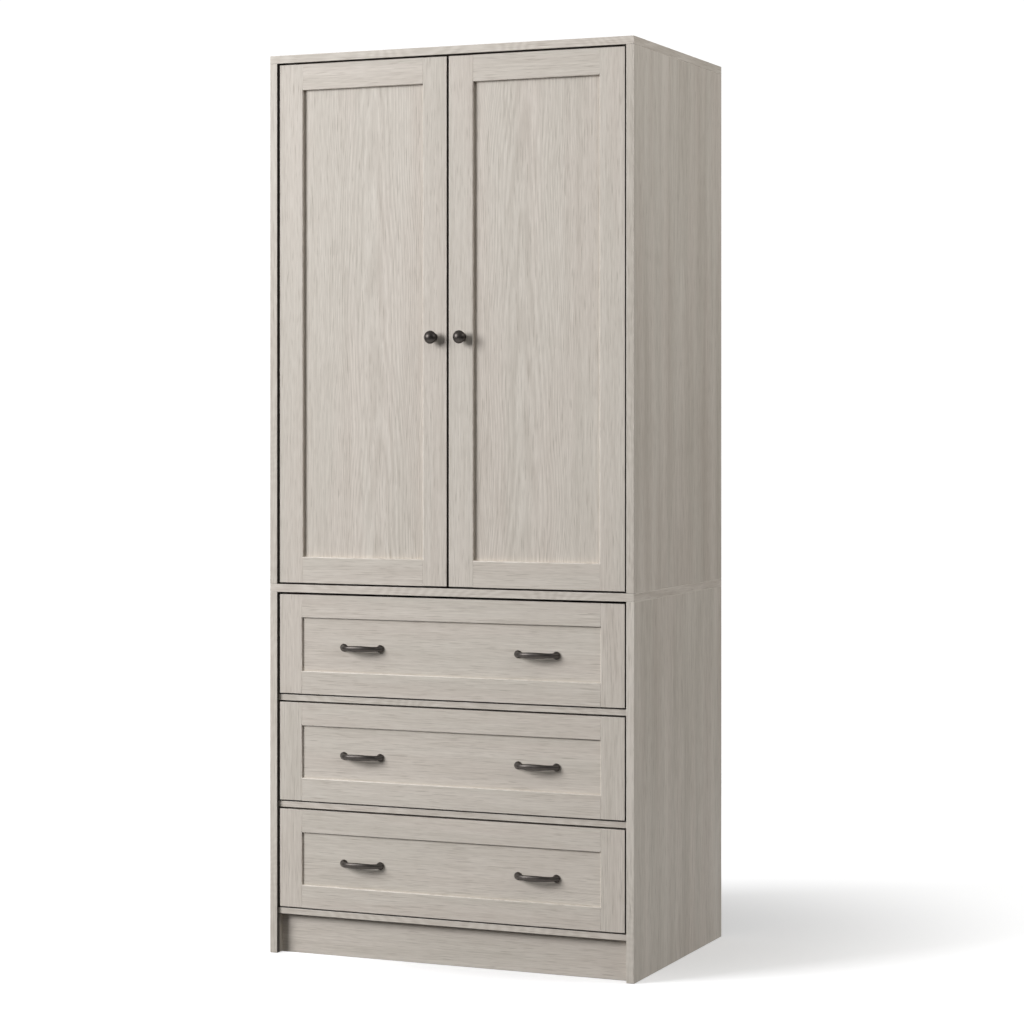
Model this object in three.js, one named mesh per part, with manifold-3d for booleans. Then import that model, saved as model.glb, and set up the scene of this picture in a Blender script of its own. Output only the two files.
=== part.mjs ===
// Two-door, three-drawer armoire in whitewashed oak laminate.
// Millimetres, +Z up, front facing -Y, floor at Z = 0. The origin is on the floor under the middle of
// the whole object, knobs included.

import * as THREE from "three";
import { mergeVertices } from "three/addons/utils/BufferGeometryUtils.js";
import Module from "manifold-3d";

const wasm = await Module();
wasm.setup();

// ---------------------------------------------------------------- driving dimensions

const WIDTH = 780;
const DEPTH = 518;
const HEIGHT = 1800;
const BOARD = 16;
const THIN_BOARD = 12;
const BACK_THICK = 3;
const BACK_MARGIN = 2;

const MIDDLE_BOTTOM = 724.5;
const KICK_HEIGHT = 79;
const KICK_SET_BACK = 22;
const BOTTOM_SET_BACK = 6;
const RAIL_SET_BACK = 7;
const RAIL_DEPTH = 70;
const DRAWER_OPENING = 202;

const FACE_SET_BACK = 4;
const SIDE_GAP = 4;
const DOOR_THICK = 18;
const DOOR_GAP = 3.25;
const MEETING_GAP = 4.25;
const DOOR_FRAME = 52;
const DOOR_PANEL_THICK = 5;
const DOOR_PANEL_RECESS = 7;
const GROOVE_DEPTH = 8;
const TONGUE_DEPTH = 7.5;
const SLACK = 0.25;

const KNOB_REACH = 24;
const KNOB_INSET = 28.75;
const KNOB_HEIGHT = 1231.5;

const CUP_RADIUS = 17.5;
const CUP_DEPTH = 11.5;
const CUP_WALL = 1.5;
const CUP_INSET = 22.25;
const CUP_FLANGE = { width: 20, height: 62, thick: 1.25 };
const CUP_LINK = { from: -12.5, to: 3, height: 10 };
const HINGE_FROM_END = 89;
const HINGE_CLEARANCE = 2.25;
const HINGE_ARM_HEIGHT = 16;
const HINGE_BASE = { thick: 3.5, from: 22, to: 76 };
const HINGE_WINGS = { thick: 3, from: 42, to: 56, height: 50 };

const DRAWER_GAP = 2.75;
const UPPER_DRAWER_TOP_GAP = 4.25;
const DRAWER_FRONT_THICK = 16;
const DRAWER_STILE = 50;
const DRAWER_RAIL = 46;
const DRAWER_PANEL_RECESS = 4;
const DRAWER_BOX_WIDTH = 723;
const DRAWER_BOX_DEPTH = 440;
const DRAWER_SIDE_HEIGHT = 140;
const DRAWER_SIDE_LIFT = 16;
const DRAWER_BOTTOM_THICK = 3;
const DRAWER_BOTTOM_LIFT = 10;
const DRAWER_GROOVE_DEPTH = 6;

const PULL_FROM_CENTRE = 188;
const PULL_CENTRES = 80;
const PULL_BELOW_MIDDLE = 4;
const PULL_FOOT_RADIUS = 7.75;
const PULL_ARCH = 20.5;
const PULL_ARCH_START = 5;
const PULL_BAR = { height: 9.6, thick: 6.4 };

const RUNNER = { length: 450, height: 24, width: 11, metal: 1.25, lift: 22 };
const RUNNER_BEHIND_FRONT = 2;
const ROD = { radius: 12.5, flange: 22, flangeThick: 4, below: 65 };

const ROUND_SEGMENTS = 36;
const KNOB_SEGMENTS = 24;
const FOOT_SEGMENTS = 16;
const OVERCUT = 1;

// ---------------------------------------------------------------- derived levels and planes

const FRONT_Y = -(DEPTH + KNOB_REACH - FACE_SET_BACK) / 2 + KNOB_REACH - FACE_SET_BACK;
const REAR_Y = FRONT_Y + DEPTH;
const BOARD_REAR_Y = REAR_Y - BACK_THICK;
const INNER_HALF = WIDTH / 2 - BOARD;
const INNER_WIDTH = 2 * INNER_HALF;
const MIDDLE_TOP = MIDDLE_BOTTOM + BOARD;
const TOP_BOTTOM = HEIGHT - BOARD;
const DRAWERS_BOTTOM = KICK_HEIGHT + THIN_BOARD;
// Every drawer opening's bottom, where the upper one takes what is left under the middle panel.
const OPENING_BOTTOMS = [0, 1, 2].map((index) => DRAWERS_BOTTOM + index * (DRAWER_OPENING + THIN_BOARD));

const DOOR_WIDTH = INNER_HALF - SIDE_GAP - MEETING_GAP / 2;
const DOOR_HEIGHT = TOP_BOTTOM - MIDDLE_TOP - 2 * DOOR_GAP;
const DOOR_MID_Z = (TOP_BOTTOM + MIDDLE_TOP) / 2;
const FACE_Y = FRONT_Y + FACE_SET_BACK;
const DOOR_BACK_Y = FACE_Y + DOOR_THICK;

// ---------------------------------------------------------------- materials

function finish(color, roughness, metalness) {
  return new THREE.MeshStandardMaterial({ color, roughness, metalness });
}

const FINISHES = {
  oak: () => finish(0xc8c0b4, 0.55, 0),
  interior: () => finish(0xcdc6bb, 0.6, 0),
  hardboard: () => finish(0xb9ae9d, 0.75, 0),
  bronze: () => finish(0x342c27, 0.38, 0.85),
  zinc: () => finish(0xb4b6b8, 0.32, 0.9),
  coated: () => finish(0xe2e1dd, 0.45, 0.3),
  chrome: () => finish(0xd0d2d4, 0.15, 1),
};

// ---------------------------------------------------------------- shape helpers

const armoire = new THREE.Group();

function place(name, geometry, finishName, [x, y, z] = [0, 0, 0]) {
  const mesh = new THREE.Mesh(geometry, FINISHES[finishName]());
  mesh.name = name;
  mesh.position.set(x, y, z);
  armoire.add(mesh);
}

function box([x0, x1], [y0, y1], [z0, z1]) {
  const geometry = new THREE.BoxGeometry(x1 - x0, y1 - y0, z1 - z0);
  geometry.translate((x0 + x1) / 2, (y0 + y1) / 2, (z0 + z1) / 2);
  return geometry;
}

// A board given by its spans, with its mesh placed at the board's centre.
function board(name, spanX, spanY, spanZ, finishName = "oak") {
  const size = [spanX, spanY, spanZ].map(([low, high]) => high - low);
  const centre = [spanX, spanY, spanZ].map(([low, high]) => (low + high) / 2);
  place(name, new THREE.BoxGeometry(...size), finishName, centre);
}

function toSolid(geometry) {
  const bare = geometry.clone();
  bare.deleteAttribute("normal");
  bare.deleteAttribute("uv");
  const merged = mergeVertices(bare, 1e-4);
  return new wasm.Manifold(
    new wasm.Mesh({
      numProp: 3,
      vertProperties: new Float32Array(merged.attributes.position.array),
      triVerts: new Uint32Array(merged.index.array),
    })
  );
}

function toGeometry(solid) {
  const mesh = solid.getMesh();
  const geometry = new THREE.BufferGeometry();
  geometry.setAttribute("position", new THREE.BufferAttribute(mesh.vertProperties, 3));
  geometry.setIndex(new THREE.BufferAttribute(mesh.triVerts, 1));
  return geometry;
}

function fuse(...geometries) {
  return toGeometry(geometries.map(toSolid).reduce((whole, next) => whole.add(next)));
}

function cut(geometry, ...tools) {
  return toGeometry(tools.map(toSolid).reduce((rest, tool) => rest.subtract(tool), toSolid(geometry)));
}

// A turned piece standing out from a vertical face: profile points are [radius, reach], and reach runs
// towards -Y.
function turned(profile, segments) {
  const geometry = new THREE.LatheGeometry(
    profile.map(([radius, reach]) => new THREE.Vector2(radius, reach)),
    segments
  );
  geometry.rotateX(Math.PI);
  return geometry;
}

// A plan outline of [x, y] points extruded upwards from z0 to z1.
function slab(points, z0, z1) {
  const shape = new THREE.Shape(points.map(([x, y]) => new THREE.Vector2(x, y)));
  const geometry = new THREE.ExtrudeGeometry(shape, { depth: z1 - z0, bevelEnabled: false });
  geometry.translate(0, 0, z0);
  return geometry;
}

// A cross-section of [x, z] points extruded along Y from y0 to y1.
function bar(points, y0, y1) {
  const shape = new THREE.Shape(points.map(([x, z]) => new THREE.Vector2(x, z)));
  const geometry = new THREE.ExtrudeGeometry(shape, { depth: y1 - y0, bevelEnabled: false });
  geometry.rotateX(Math.PI / 2);
  geometry.translate(0, y1, 0);
  return geometry;
}

// ---------------------------------------------------------------- carcass

const SIDES = { left: -1, right: 1 };

function span(side, from, to) {
  return side < 0 ? [-to, -from] : [from, to];
}

function carcass() {
  const full = [-WIDTH / 2, WIDTH / 2];
  const inner = [-INNER_HALF, INNER_HALF];
  const depth = [FRONT_Y, BOARD_REAR_Y];
  board("top_panel", full, depth, [TOP_BOTTOM, HEIGHT]);
  board("middle_panel", full, depth, [MIDDLE_BOTTOM, MIDDLE_TOP]);
  for (const [sideName, side] of Object.entries(SIDES)) {
    const across = span(side, INNER_HALF, WIDTH / 2);
    board(`upper_side_${sideName}`, across, depth, [MIDDLE_TOP, TOP_BOTTOM]);
    board(`lower_side_${sideName}`, across, depth, [0, MIDDLE_BOTTOM]);
  }
  board("bottom_panel", inner, [FRONT_Y + BOTTOM_SET_BACK, BOARD_REAR_Y], [KICK_HEIGHT, DRAWERS_BOTTOM]);
  const kickFront = FRONT_Y + KICK_SET_BACK;
  board("kick_board", inner, [kickFront, kickFront + THIN_BOARD], [0, KICK_HEIGHT]);
  board("rear_kick_board", inner, [BOARD_REAR_Y - THIN_BOARD, BOARD_REAR_Y], [0, KICK_HEIGHT]);
  const railFront = FRONT_Y + RAIL_SET_BACK;
  ["lower", "upper"].forEach((level, index) => {
    const z0 = OPENING_BOTTOMS[index] + DRAWER_OPENING;
    board(`drawer_rail_${level}`, inner, [railFront, railFront + RAIL_DEPTH], [z0, z0 + THIN_BOARD]);
  });
  const backHalf = WIDTH / 2 - BACK_MARGIN;
  board(
    "back_panel",
    [-backHalf, backHalf],
    [BOARD_REAR_Y, REAR_Y],
    [KICK_HEIGHT - THIN_BOARD, HEIGHT - BACK_MARGIN],
    "hardboard"
  );
}

// Garment rod with its end flanges, turned about the X axis.
function hangingRod() {
  const inside = INNER_HALF - ROD.flangeThick;
  const profile = [
    [0, -INNER_HALF],
    [ROD.flange, -INNER_HALF],
    [ROD.flange, -inside],
    [ROD.radius, -inside],
    [ROD.radius, inside],
    [ROD.flange, inside],
    [ROD.flange, INNER_HALF],
    [0, INNER_HALF],
  ];
  const geometry = new THREE.LatheGeometry(
    profile.map(([radius, along]) => new THREE.Vector2(radius, along)),
    ROUND_SEGMENTS
  );
  geometry.rotateZ(Math.PI / 2);
  place("hanging_rod", geometry, "chrome", [0, (FRONT_Y + BOARD_REAR_Y) / 2, TOP_BOTTOM - ROD.below]);
}

// ---------------------------------------------------------------- doors

// One stile: a plain board with a groove for the panel along one edge and bores for hinge cups. Spans
// run out from the middle of the armoire, and panelEdge is the near or the far edge of the span.
function stile(side, [from, to], panelEdge, boreHeights) {
  const half = DOOR_HEIGHT / 2;
  const blank = box(span(side, from, to), [0, DOOR_THICK], [-half, half]);
  const groove =
    panelEdge === "far" ? [to - GROOVE_DEPTH, to + OVERCUT] : [from - OVERCUT, from + GROOVE_DEPTH];
  const tools = [box(span(side, ...groove), grooveSpan(), [-half - OVERCUT, half + OVERCUT])];
  for (const height of boreHeights) {
    const boreRadius = CUP_RADIUS + SLACK;
    const bore = new THREE.CylinderGeometry(boreRadius, boreRadius, DOOR_THICK, ROUND_SEGMENTS);
    const boreFloor = DOOR_THICK - CUP_DEPTH - SLACK;
    bore.translate(side * (to - CUP_INSET), boreFloor + DOOR_THICK / 2, height);
    tools.push(bore);
  }
  return cut(blank, ...tools);
}

function grooveSpan() {
  return [DOOR_PANEL_RECESS - SLACK, DOOR_PANEL_RECESS + DOOR_PANEL_THICK + SLACK];
}

// One rail between the stiles, with a stub tenon at each end and a groove towards the panel.
function rail(side, [from, to], edge) {
  const outer = DOOR_HEIGHT / 2;
  const inner = outer - DOOR_FRAME;
  const panelSpan = [DOOR_PANEL_RECESS, DOOR_PANEL_RECESS + DOOR_PANEL_THICK];
  const levels = (low, high) => (edge > 0 ? [low, high] : [-high, -low]);
  const body = box(span(side, from, to), [0, DOOR_THICK], levels(inner, outer));
  const tenon = box(span(side, from - TONGUE_DEPTH, to + TONGUE_DEPTH), panelSpan, levels(inner, outer));
  const grooveX = span(side, from - GROOVE_DEPTH, to + GROOVE_DEPTH);
  const groove = box(grooveX, grooveSpan(), levels(inner - OVERCUT, inner + GROOVE_DEPTH));
  return cut(fuse(body, tenon), groove);
}

// Round knob: domed head on a waisted neck with a base flange.
function knob() {
  return turned(
    [
      [0, 0],
      [8.8, 0],
      [8.8, 1.6],
      [6.6, 3.2],
      [5.4, 6.5],
      [6.2, 9.6],
      [10.6, 11.6],
      [12.7, 13.8],
      [13, 16],
      [12, 19.2],
      [9.2, 22],
      [5, 23.6],
      [0, KNOB_REACH],
    ],
    KNOB_SEGMENTS
  );
}

// Hinge cup let into the back of the door, with its screw flange and the stub of its moving link. Its
// origin is on the back face of the door.
function hingeCup() {
  const ring = new THREE.LatheGeometry(
    [
      [0, -CUP_DEPTH],
      [CUP_RADIUS, -CUP_DEPTH],
      [CUP_RADIUS, CUP_FLANGE.thick],
      [CUP_RADIUS - CUP_WALL, CUP_FLANGE.thick],
      [CUP_RADIUS - CUP_WALL, -CUP_DEPTH + CUP_WALL],
      [0, -CUP_DEPTH + CUP_WALL],
    ].map(([radius, along]) => new THREE.Vector2(radius, along)),
    ROUND_SEGMENTS
  );
  const half = { x: CUP_FLANGE.width / 2, z: CUP_FLANGE.height / 2 };
  const strip = box([-half.x, half.x], [0, CUP_FLANGE.thick], [-half.z, half.z]);
  const mouthRadius = CUP_RADIUS - CUP_WALL / 2;
  const mouth = new THREE.CylinderGeometry(mouthRadius, mouthRadius, 4 * CUP_FLANGE.thick, ROUND_SEGMENTS);
  const link = box(
    [CUP_LINK.from, CUP_LINK.to],
    [-CUP_DEPTH + CUP_WALL / 2, CUP_FLANGE.thick],
    [-CUP_LINK.height / 2, CUP_LINK.height / 2]
  );
  return fuse(cut(strip, mouth), ring, link);
}

// Hinge arm on its mounting plate. Plan points are [distance in from the side board, distance behind the
// door's back face].
function hingeArm(side) {
  const flip = (points) => points.map(([across, behind]) => [-side * across, behind]);
  const armLevels = [-HINGE_ARM_HEIGHT / 2, HINGE_ARM_HEIGHT / 2];
  const arm = slab(
    flip([
      [3, 24],
      [3, 74],
      [9, 74],
      [12, 68],
      [12, 34],
      [17, 22],
      [30, 9],
      [30, HINGE_CLEARANCE],
      [22, HINGE_CLEARANCE],
      [11, 13],
      [6, 24],
    ]),
    ...armLevels
  );
  const base = box(span(-side, 0, HINGE_BASE.thick), [HINGE_BASE.from, HINGE_BASE.to], armLevels);
  const wings = box(
    span(-side, 0, HINGE_WINGS.thick),
    [HINGE_WINGS.from, HINGE_WINGS.to],
    [-HINGE_WINGS.height / 2, HINGE_WINGS.height / 2]
  );
  return fuse(arm, base, wings);
}

function door(sideName, side) {
  const meeting = MEETING_GAP / 2;
  const hingeEdge = meeting + DOOR_WIDTH;
  const bores = [-1, 1].map((end) => end * (DOOR_HEIGHT / 2 - HINGE_FROM_END));
  const at = [0, FACE_Y, DOOR_MID_Z];
  const meetingSpan = [meeting, meeting + DOOR_FRAME];
  const hingeSpan = [hingeEdge - DOOR_FRAME, hingeEdge];
  const railSpan = [meetingSpan[1], hingeSpan[0]];
  const prefix = `door_${sideName}`;
  place(`${prefix}_meeting_stile`, stile(side, meetingSpan, "far", []), "oak", at);
  place(`${prefix}_hinge_stile`, stile(side, hingeSpan, "near", bores), "oak", at);
  place(`${prefix}_top_rail`, rail(side, railSpan, 1), "oak", at);
  place(`${prefix}_bottom_rail`, rail(side, railSpan, -1), "oak", at);
  const panelHalf = DOOR_HEIGHT / 2 - DOOR_FRAME + TONGUE_DEPTH;
  board(
    `${prefix}_panel`,
    span(side, railSpan[0] - TONGUE_DEPTH, railSpan[1] + TONGUE_DEPTH),
    [FACE_Y + DOOR_PANEL_RECESS, FACE_Y + DOOR_PANEL_RECESS + DOOR_PANEL_THICK],
    [DOOR_MID_Z - panelHalf, DOOR_MID_Z + panelHalf]
  );
  place(`${prefix}_knob`, knob(), "bronze", [side * (meeting + KNOB_INSET), FACE_Y, KNOB_HEIGHT]);
  ["lower", "upper"].forEach((level, index) => {
    const z = DOOR_MID_Z + bores[index];
    const cupAt = [side * (hingeEdge - CUP_INSET), DOOR_BACK_Y, z];
    place(`${prefix}_hinge_cup_${level}`, hingeCup(), "zinc", cupAt);
    place(`hinge_arm_${sideName}_${level}`, hingeArm(side), "zinc", [side * INNER_HALF, DOOR_BACK_Y, z]);
  });
}

// ---------------------------------------------------------------- drawers

// The arch of a pull, seen from above: half an ellipse from foot to foot.
class PullArch extends THREE.Curve {
  getPoint(t, target = new THREE.Vector3()) {
    const angle = Math.PI * (1 - t);
    const reach = PULL_ARCH_START + (PULL_ARCH - PULL_ARCH_START) * Math.sin(angle);
    return target.set((PULL_CENTRES / 2) * Math.cos(angle), -reach, 0);
  }
}

function pull() {
  const section = new THREE.Shape();
  section.absellipse(0, 0, PULL_BAR.height / 2, PULL_BAR.thick / 2, 0, 2 * Math.PI, false, 0);
  const arch = new THREE.ExtrudeGeometry(section, {
    steps: 14,
    curveSegments: 5,
    extrudePath: new PullArch(),
  });
  const feet = [-1, 1].map((end) => {
    const foot = turned(
      [
        [0, 0],
        [PULL_FOOT_RADIUS, 0],
        [PULL_FOOT_RADIUS, 2.2],
        [6.3, 4],
        [5.9, 7],
        [4.6, 9.5],
        [0, 10.5],
      ],
      FOOT_SEGMENTS
    );
    foot.translate((end * PULL_CENTRES) / 2, 0, 0);
    return foot;
  });
  return fuse(arch, ...feet);
}

// Drawer front: a solid board with its centre sunk to leave a frame, and a groove behind for the bottom.
function drawerFront(width, height) {
  const half = { x: width / 2, z: height / 2 };
  const blank = box([-half.x, half.x], [0, DRAWER_FRONT_THICK], [-half.z, half.z]);
  const field = box(
    [-half.x + DRAWER_STILE, half.x - DRAWER_STILE],
    [-OVERCUT, DRAWER_PANEL_RECESS],
    [-half.z + DRAWER_RAIL, half.z - DRAWER_RAIL]
  );
  const grooveZ = -half.z + DRAWER_SIDE_LIFT + DRAWER_BOTTOM_LIFT;
  const grooveHalf = DRAWER_BOX_WIDTH / 2 - THIN_BOARD + DRAWER_GROOVE_DEPTH;
  const groove = box(
    [-grooveHalf, grooveHalf],
    [DRAWER_FRONT_THICK - DRAWER_GROOVE_DEPTH, DRAWER_FRONT_THICK + OVERCUT],
    [grooveZ - SLACK, grooveZ + DRAWER_BOTTOM_THICK + SLACK]
  );
  return cut(blank, field, groove);
}

// Drawer side: its section has a groove near the lower edge that holds the bottom. Points are
// [distance in from the outer face, height above the lower edge].
function drawerSide(side) {
  const grooveLow = DRAWER_BOTTOM_LIFT - SLACK;
  const grooveHigh = DRAWER_BOTTOM_LIFT + DRAWER_BOTTOM_THICK + SLACK;
  const grooveFloor = THIN_BOARD - DRAWER_GROOVE_DEPTH;
  const section = [
    [0, 0],
    [THIN_BOARD, 0],
    [THIN_BOARD, grooveLow],
    [grooveFloor, grooveLow],
    [grooveFloor, grooveHigh],
    [THIN_BOARD, grooveHigh],
    [THIN_BOARD, DRAWER_SIDE_HEIGHT],
    [0, DRAWER_SIDE_HEIGHT],
  ];
  return bar(
    section.map(([across, up]) => [-side * across, up]),
    0,
    DRAWER_BOX_DEPTH
  );
}

function drawer(levelName, openingBottom, frontTop) {
  const prefix = `drawer_${levelName}`;
  const width = INNER_WIDTH - 2 * SIDE_GAP;
  const bottom = openingBottom + DRAWER_GAP;
  const height = frontTop - bottom;
  const middle = bottom + height / 2;
  const boxFront = FACE_Y + DRAWER_FRONT_THICK;
  const boxRear = boxFront + DRAWER_BOX_DEPTH;
  const sideBottom = bottom + DRAWER_SIDE_LIFT;
  const floorBottom = sideBottom + DRAWER_BOTTOM_LIFT;
  const floorTop = floorBottom + DRAWER_BOTTOM_THICK;
  const innerHalf = DRAWER_BOX_WIDTH / 2 - THIN_BOARD;
  place(`${prefix}_front`, drawerFront(width, height), "oak", [0, FACE_Y, middle]);
  for (const [sideName, side] of Object.entries(SIDES)) {
    const at = [(side * DRAWER_BOX_WIDTH) / 2, boxFront, sideBottom];
    place(`${prefix}_side_${sideName}`, drawerSide(side), "interior", at);
    const pullAt = [side * PULL_FROM_CENTRE, FACE_Y + DRAWER_PANEL_RECESS, middle - PULL_BELOW_MIDDLE];
    place(`${prefix}_pull_${sideName}`, pull(), "bronze", pullAt);
  }
  board(
    `${prefix}_back`,
    [-innerHalf, innerHalf],
    [boxRear - THIN_BOARD, boxRear],
    [floorTop + SLACK, sideBottom + DRAWER_SIDE_HEIGHT],
    "interior"
  );
  const tongue = DRAWER_GROOVE_DEPTH - SLACK;
  board(
    `${prefix}_bottom`,
    [-innerHalf - tongue, innerHalf + tongue],
    [boxFront - tongue, boxRear],
    [floorBottom, floorTop],
    "hardboard"
  );
}

// Cabinet half of a drawer runner: a C-channel screwed to the side board, open towards the drawer.
function runner(side) {
  const { width, height, metal, length } = RUNNER;
  const section = [
    [0, 0],
    [width, 0],
    [width, metal],
    [metal, metal],
    [metal, height - metal],
    [width, height - metal],
    [width, height],
    [0, height],
  ];
  return bar(
    section.map(([across, up]) => [-side * across, up]),
    0,
    length
  );
}

function drawers() {
  const runnerFront = FACE_Y + DRAWER_FRONT_THICK + RUNNER_BEHIND_FRONT;
  ["lower", "middle", "upper"].forEach((levelName, index) => {
    const openingBottom = OPENING_BOTTOMS[index];
    const lowTop = openingBottom + DRAWER_OPENING - DRAWER_GAP;
    drawer(levelName, openingBottom, levelName === "upper" ? MIDDLE_BOTTOM - UPPER_DRAWER_TOP_GAP : lowTop);
    for (const [sideName, side] of Object.entries(SIDES)) {
      const at = [side * INNER_HALF, runnerFront, openingBottom + RUNNER.lift];
      place(`runner_${levelName}_${sideName}`, runner(side), "coated", at);
    }
  });
}

carcass();
hangingRod();
for (const [sideName, side] of Object.entries(SIDES)) door(sideName, side);
drawers();

export default armoire;
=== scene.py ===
"""The looks of a tall oak-laminate armoire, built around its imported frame.

Everything is in metres in the frame's own axes: +Z is up and the doors and drawers face -Y. Each
sub-assembly is a class that reads its places from the frame, builds its pieces and dresses them.
"""

import logging
import math
import random
from dataclasses import dataclass
from enum import Enum
from typing import Callable, Sequence

import bmesh
import bpy
from bmesh.types import BMEdge, BMesh, BMVert
from mathutils import Matrix, Vector


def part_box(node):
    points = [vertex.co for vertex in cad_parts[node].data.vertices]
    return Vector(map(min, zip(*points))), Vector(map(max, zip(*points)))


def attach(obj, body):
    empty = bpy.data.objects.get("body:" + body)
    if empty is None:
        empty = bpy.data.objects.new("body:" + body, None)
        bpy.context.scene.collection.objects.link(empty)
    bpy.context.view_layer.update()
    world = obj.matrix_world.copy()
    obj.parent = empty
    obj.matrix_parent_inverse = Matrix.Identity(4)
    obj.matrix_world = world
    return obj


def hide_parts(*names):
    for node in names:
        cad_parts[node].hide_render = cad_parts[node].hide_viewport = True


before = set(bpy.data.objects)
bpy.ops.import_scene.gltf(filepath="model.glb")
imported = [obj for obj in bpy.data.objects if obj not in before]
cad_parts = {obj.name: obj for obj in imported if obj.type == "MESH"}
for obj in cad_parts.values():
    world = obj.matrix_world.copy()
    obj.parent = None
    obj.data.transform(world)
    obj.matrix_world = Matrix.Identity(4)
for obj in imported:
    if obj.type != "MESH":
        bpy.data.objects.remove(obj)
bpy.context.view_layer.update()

log = logging.getLogger("armoire")

MM = 0.001
UP = Vector((0.0, 0.0, 1.0))
OUT = Vector((0.0, -1.0, 0.0))
ACROSS = Vector((1.0, 0.0, 0.0))
# Points nearer than MERGE become one, and places nearer than TOUCH count as the same.
MERGE = 0.001 * MM
TOUCH = 0.01 * MM
# A normal with one part at least this large belongs to a board's flat face.
FLAT = 0.999
Triple = tuple[float, float, float]
Colour = tuple[float, float, float]
Span = tuple[float, float]
Profile = Sequence[tuple[float, float]]


class Axis(Enum):
    """An axis of the frame, used for the way that wood fibre runs."""

    X = 0
    Y = 1
    Z = 2


class Side(Enum):
    """The left or right half of the armoire, seen from in front."""

    LEFT = -1
    RIGHT = 1

    @property
    def word(self) -> str:
        """The side's name as the CAD nodes spell it."""
        return self.name.lower()

    @property
    def inward(self) -> Vector:
        """The direction from this side's wall to the middle."""
        return Vector((-float(self.value), 0.0, 0.0))

    def wall(self, box: "Extent") -> float:
        """The X of a box's face on this side."""
        return box.high.x if self is Side.RIGHT else box.low.x


class Level(Enum):
    """One of the three drawers."""

    LOWER = 0
    MIDDLE = 1
    UPPER = 2

    @property
    def word(self) -> str:
        """The level's name as the CAD nodes spell it."""
        return self.name.lower()


# ---------------------------------------------------------------------------- shader tools

# The middle of a noise or of a wave between 0 and 1.
MID = 0.5
# The Mix node's sockets for colours go by index, because its sockets for numbers have the same names.
MIX_SHARE, MIX_FIRST, MIX_SECOND, MIX_RESULT = 0, 6, 7, 2


@dataclass(frozen=True)
class Layer:
    """One layer of noise in a finish, and how strongly it works on colour, relief and gloss.

    The rates are waves to the metre along each coordinate, coarse is how strong the finer octaves are,
    and the span is the part of the noise that a smooth step picks out.
    """

    rate: Triple
    octaves: float
    coarse: float = 0.5
    share: float = 1.0
    relief: float = 0.0
    dull: float = 0.0
    span: Span = (0.0, 1.0)

    @classmethod
    def even(
        cls, rate: float, octaves: float, coarse: float = 0.5, **strengths: float | Span
    ) -> "Layer":
        """A layer with the same rate along every coordinate."""
        return cls((rate, rate, rate), octaves, coarse, **strengths)


class Signal:
    """One output socket of a node, which can be used in arithmetic."""

    def __init__(self, graph: "ShaderGraph", socket: bpy.types.NodeSocket) -> None:
        """Wraps a socket.

        Args:
            graph: the graph that its node is in.
            socket: the output socket.
        """
        self.graph = graph
        self.socket = socket

    def _math(self, operation: str, *terms: "Signal | float") -> "Signal":
        """Adds one Math node.

        Args:
            operation: the Math node's operation.
            terms: its operands, in order.

        Returns:
            The node's result.
        """
        return self.graph.node("ShaderNodeMath", {"operation": operation}, dict(enumerate(terms)))

    def __add__(self, other: "Signal | float") -> "Signal":
        """The sum."""
        return self._math("ADD", self, other)

    def __radd__(self, other: float) -> "Signal":
        """The sum, with a number first."""
        return self._math("ADD", other, self)

    def __sub__(self, other: "Signal | float") -> "Signal":
        """The difference."""
        return self._math("SUBTRACT", self, other)

    def __rsub__(self, other: float) -> "Signal":
        """The difference, with a number first."""
        return self._math("SUBTRACT", other, self)

    def __mul__(self, other: "Signal | float") -> "Signal":
        """The product."""
        return self._math("MULTIPLY", self, other)

    def sine(self) -> "Signal":
        """The sine of this value in radians."""
        return self._math("SINE", self)

    def floored(self, least: float) -> "Signal":
        """This value, or the least value where it is lower."""
        return self._math("MAXIMUM", self, least)

    def step(self, low: float, high: float) -> "Signal":
        """A smooth step.

        Args:
            low: the value below which the result is 0.
            high: the value above which the result is 1.

        Returns:
            A value that rises smoothly from 0 to 1 between the two.
        """
        return self.graph.node(
            "ShaderNodeMapRange",
            {"interpolation_type": "SMOOTHSTEP"},
            {"Value": self, "From Min": low, "From Max": high},
        )


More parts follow.
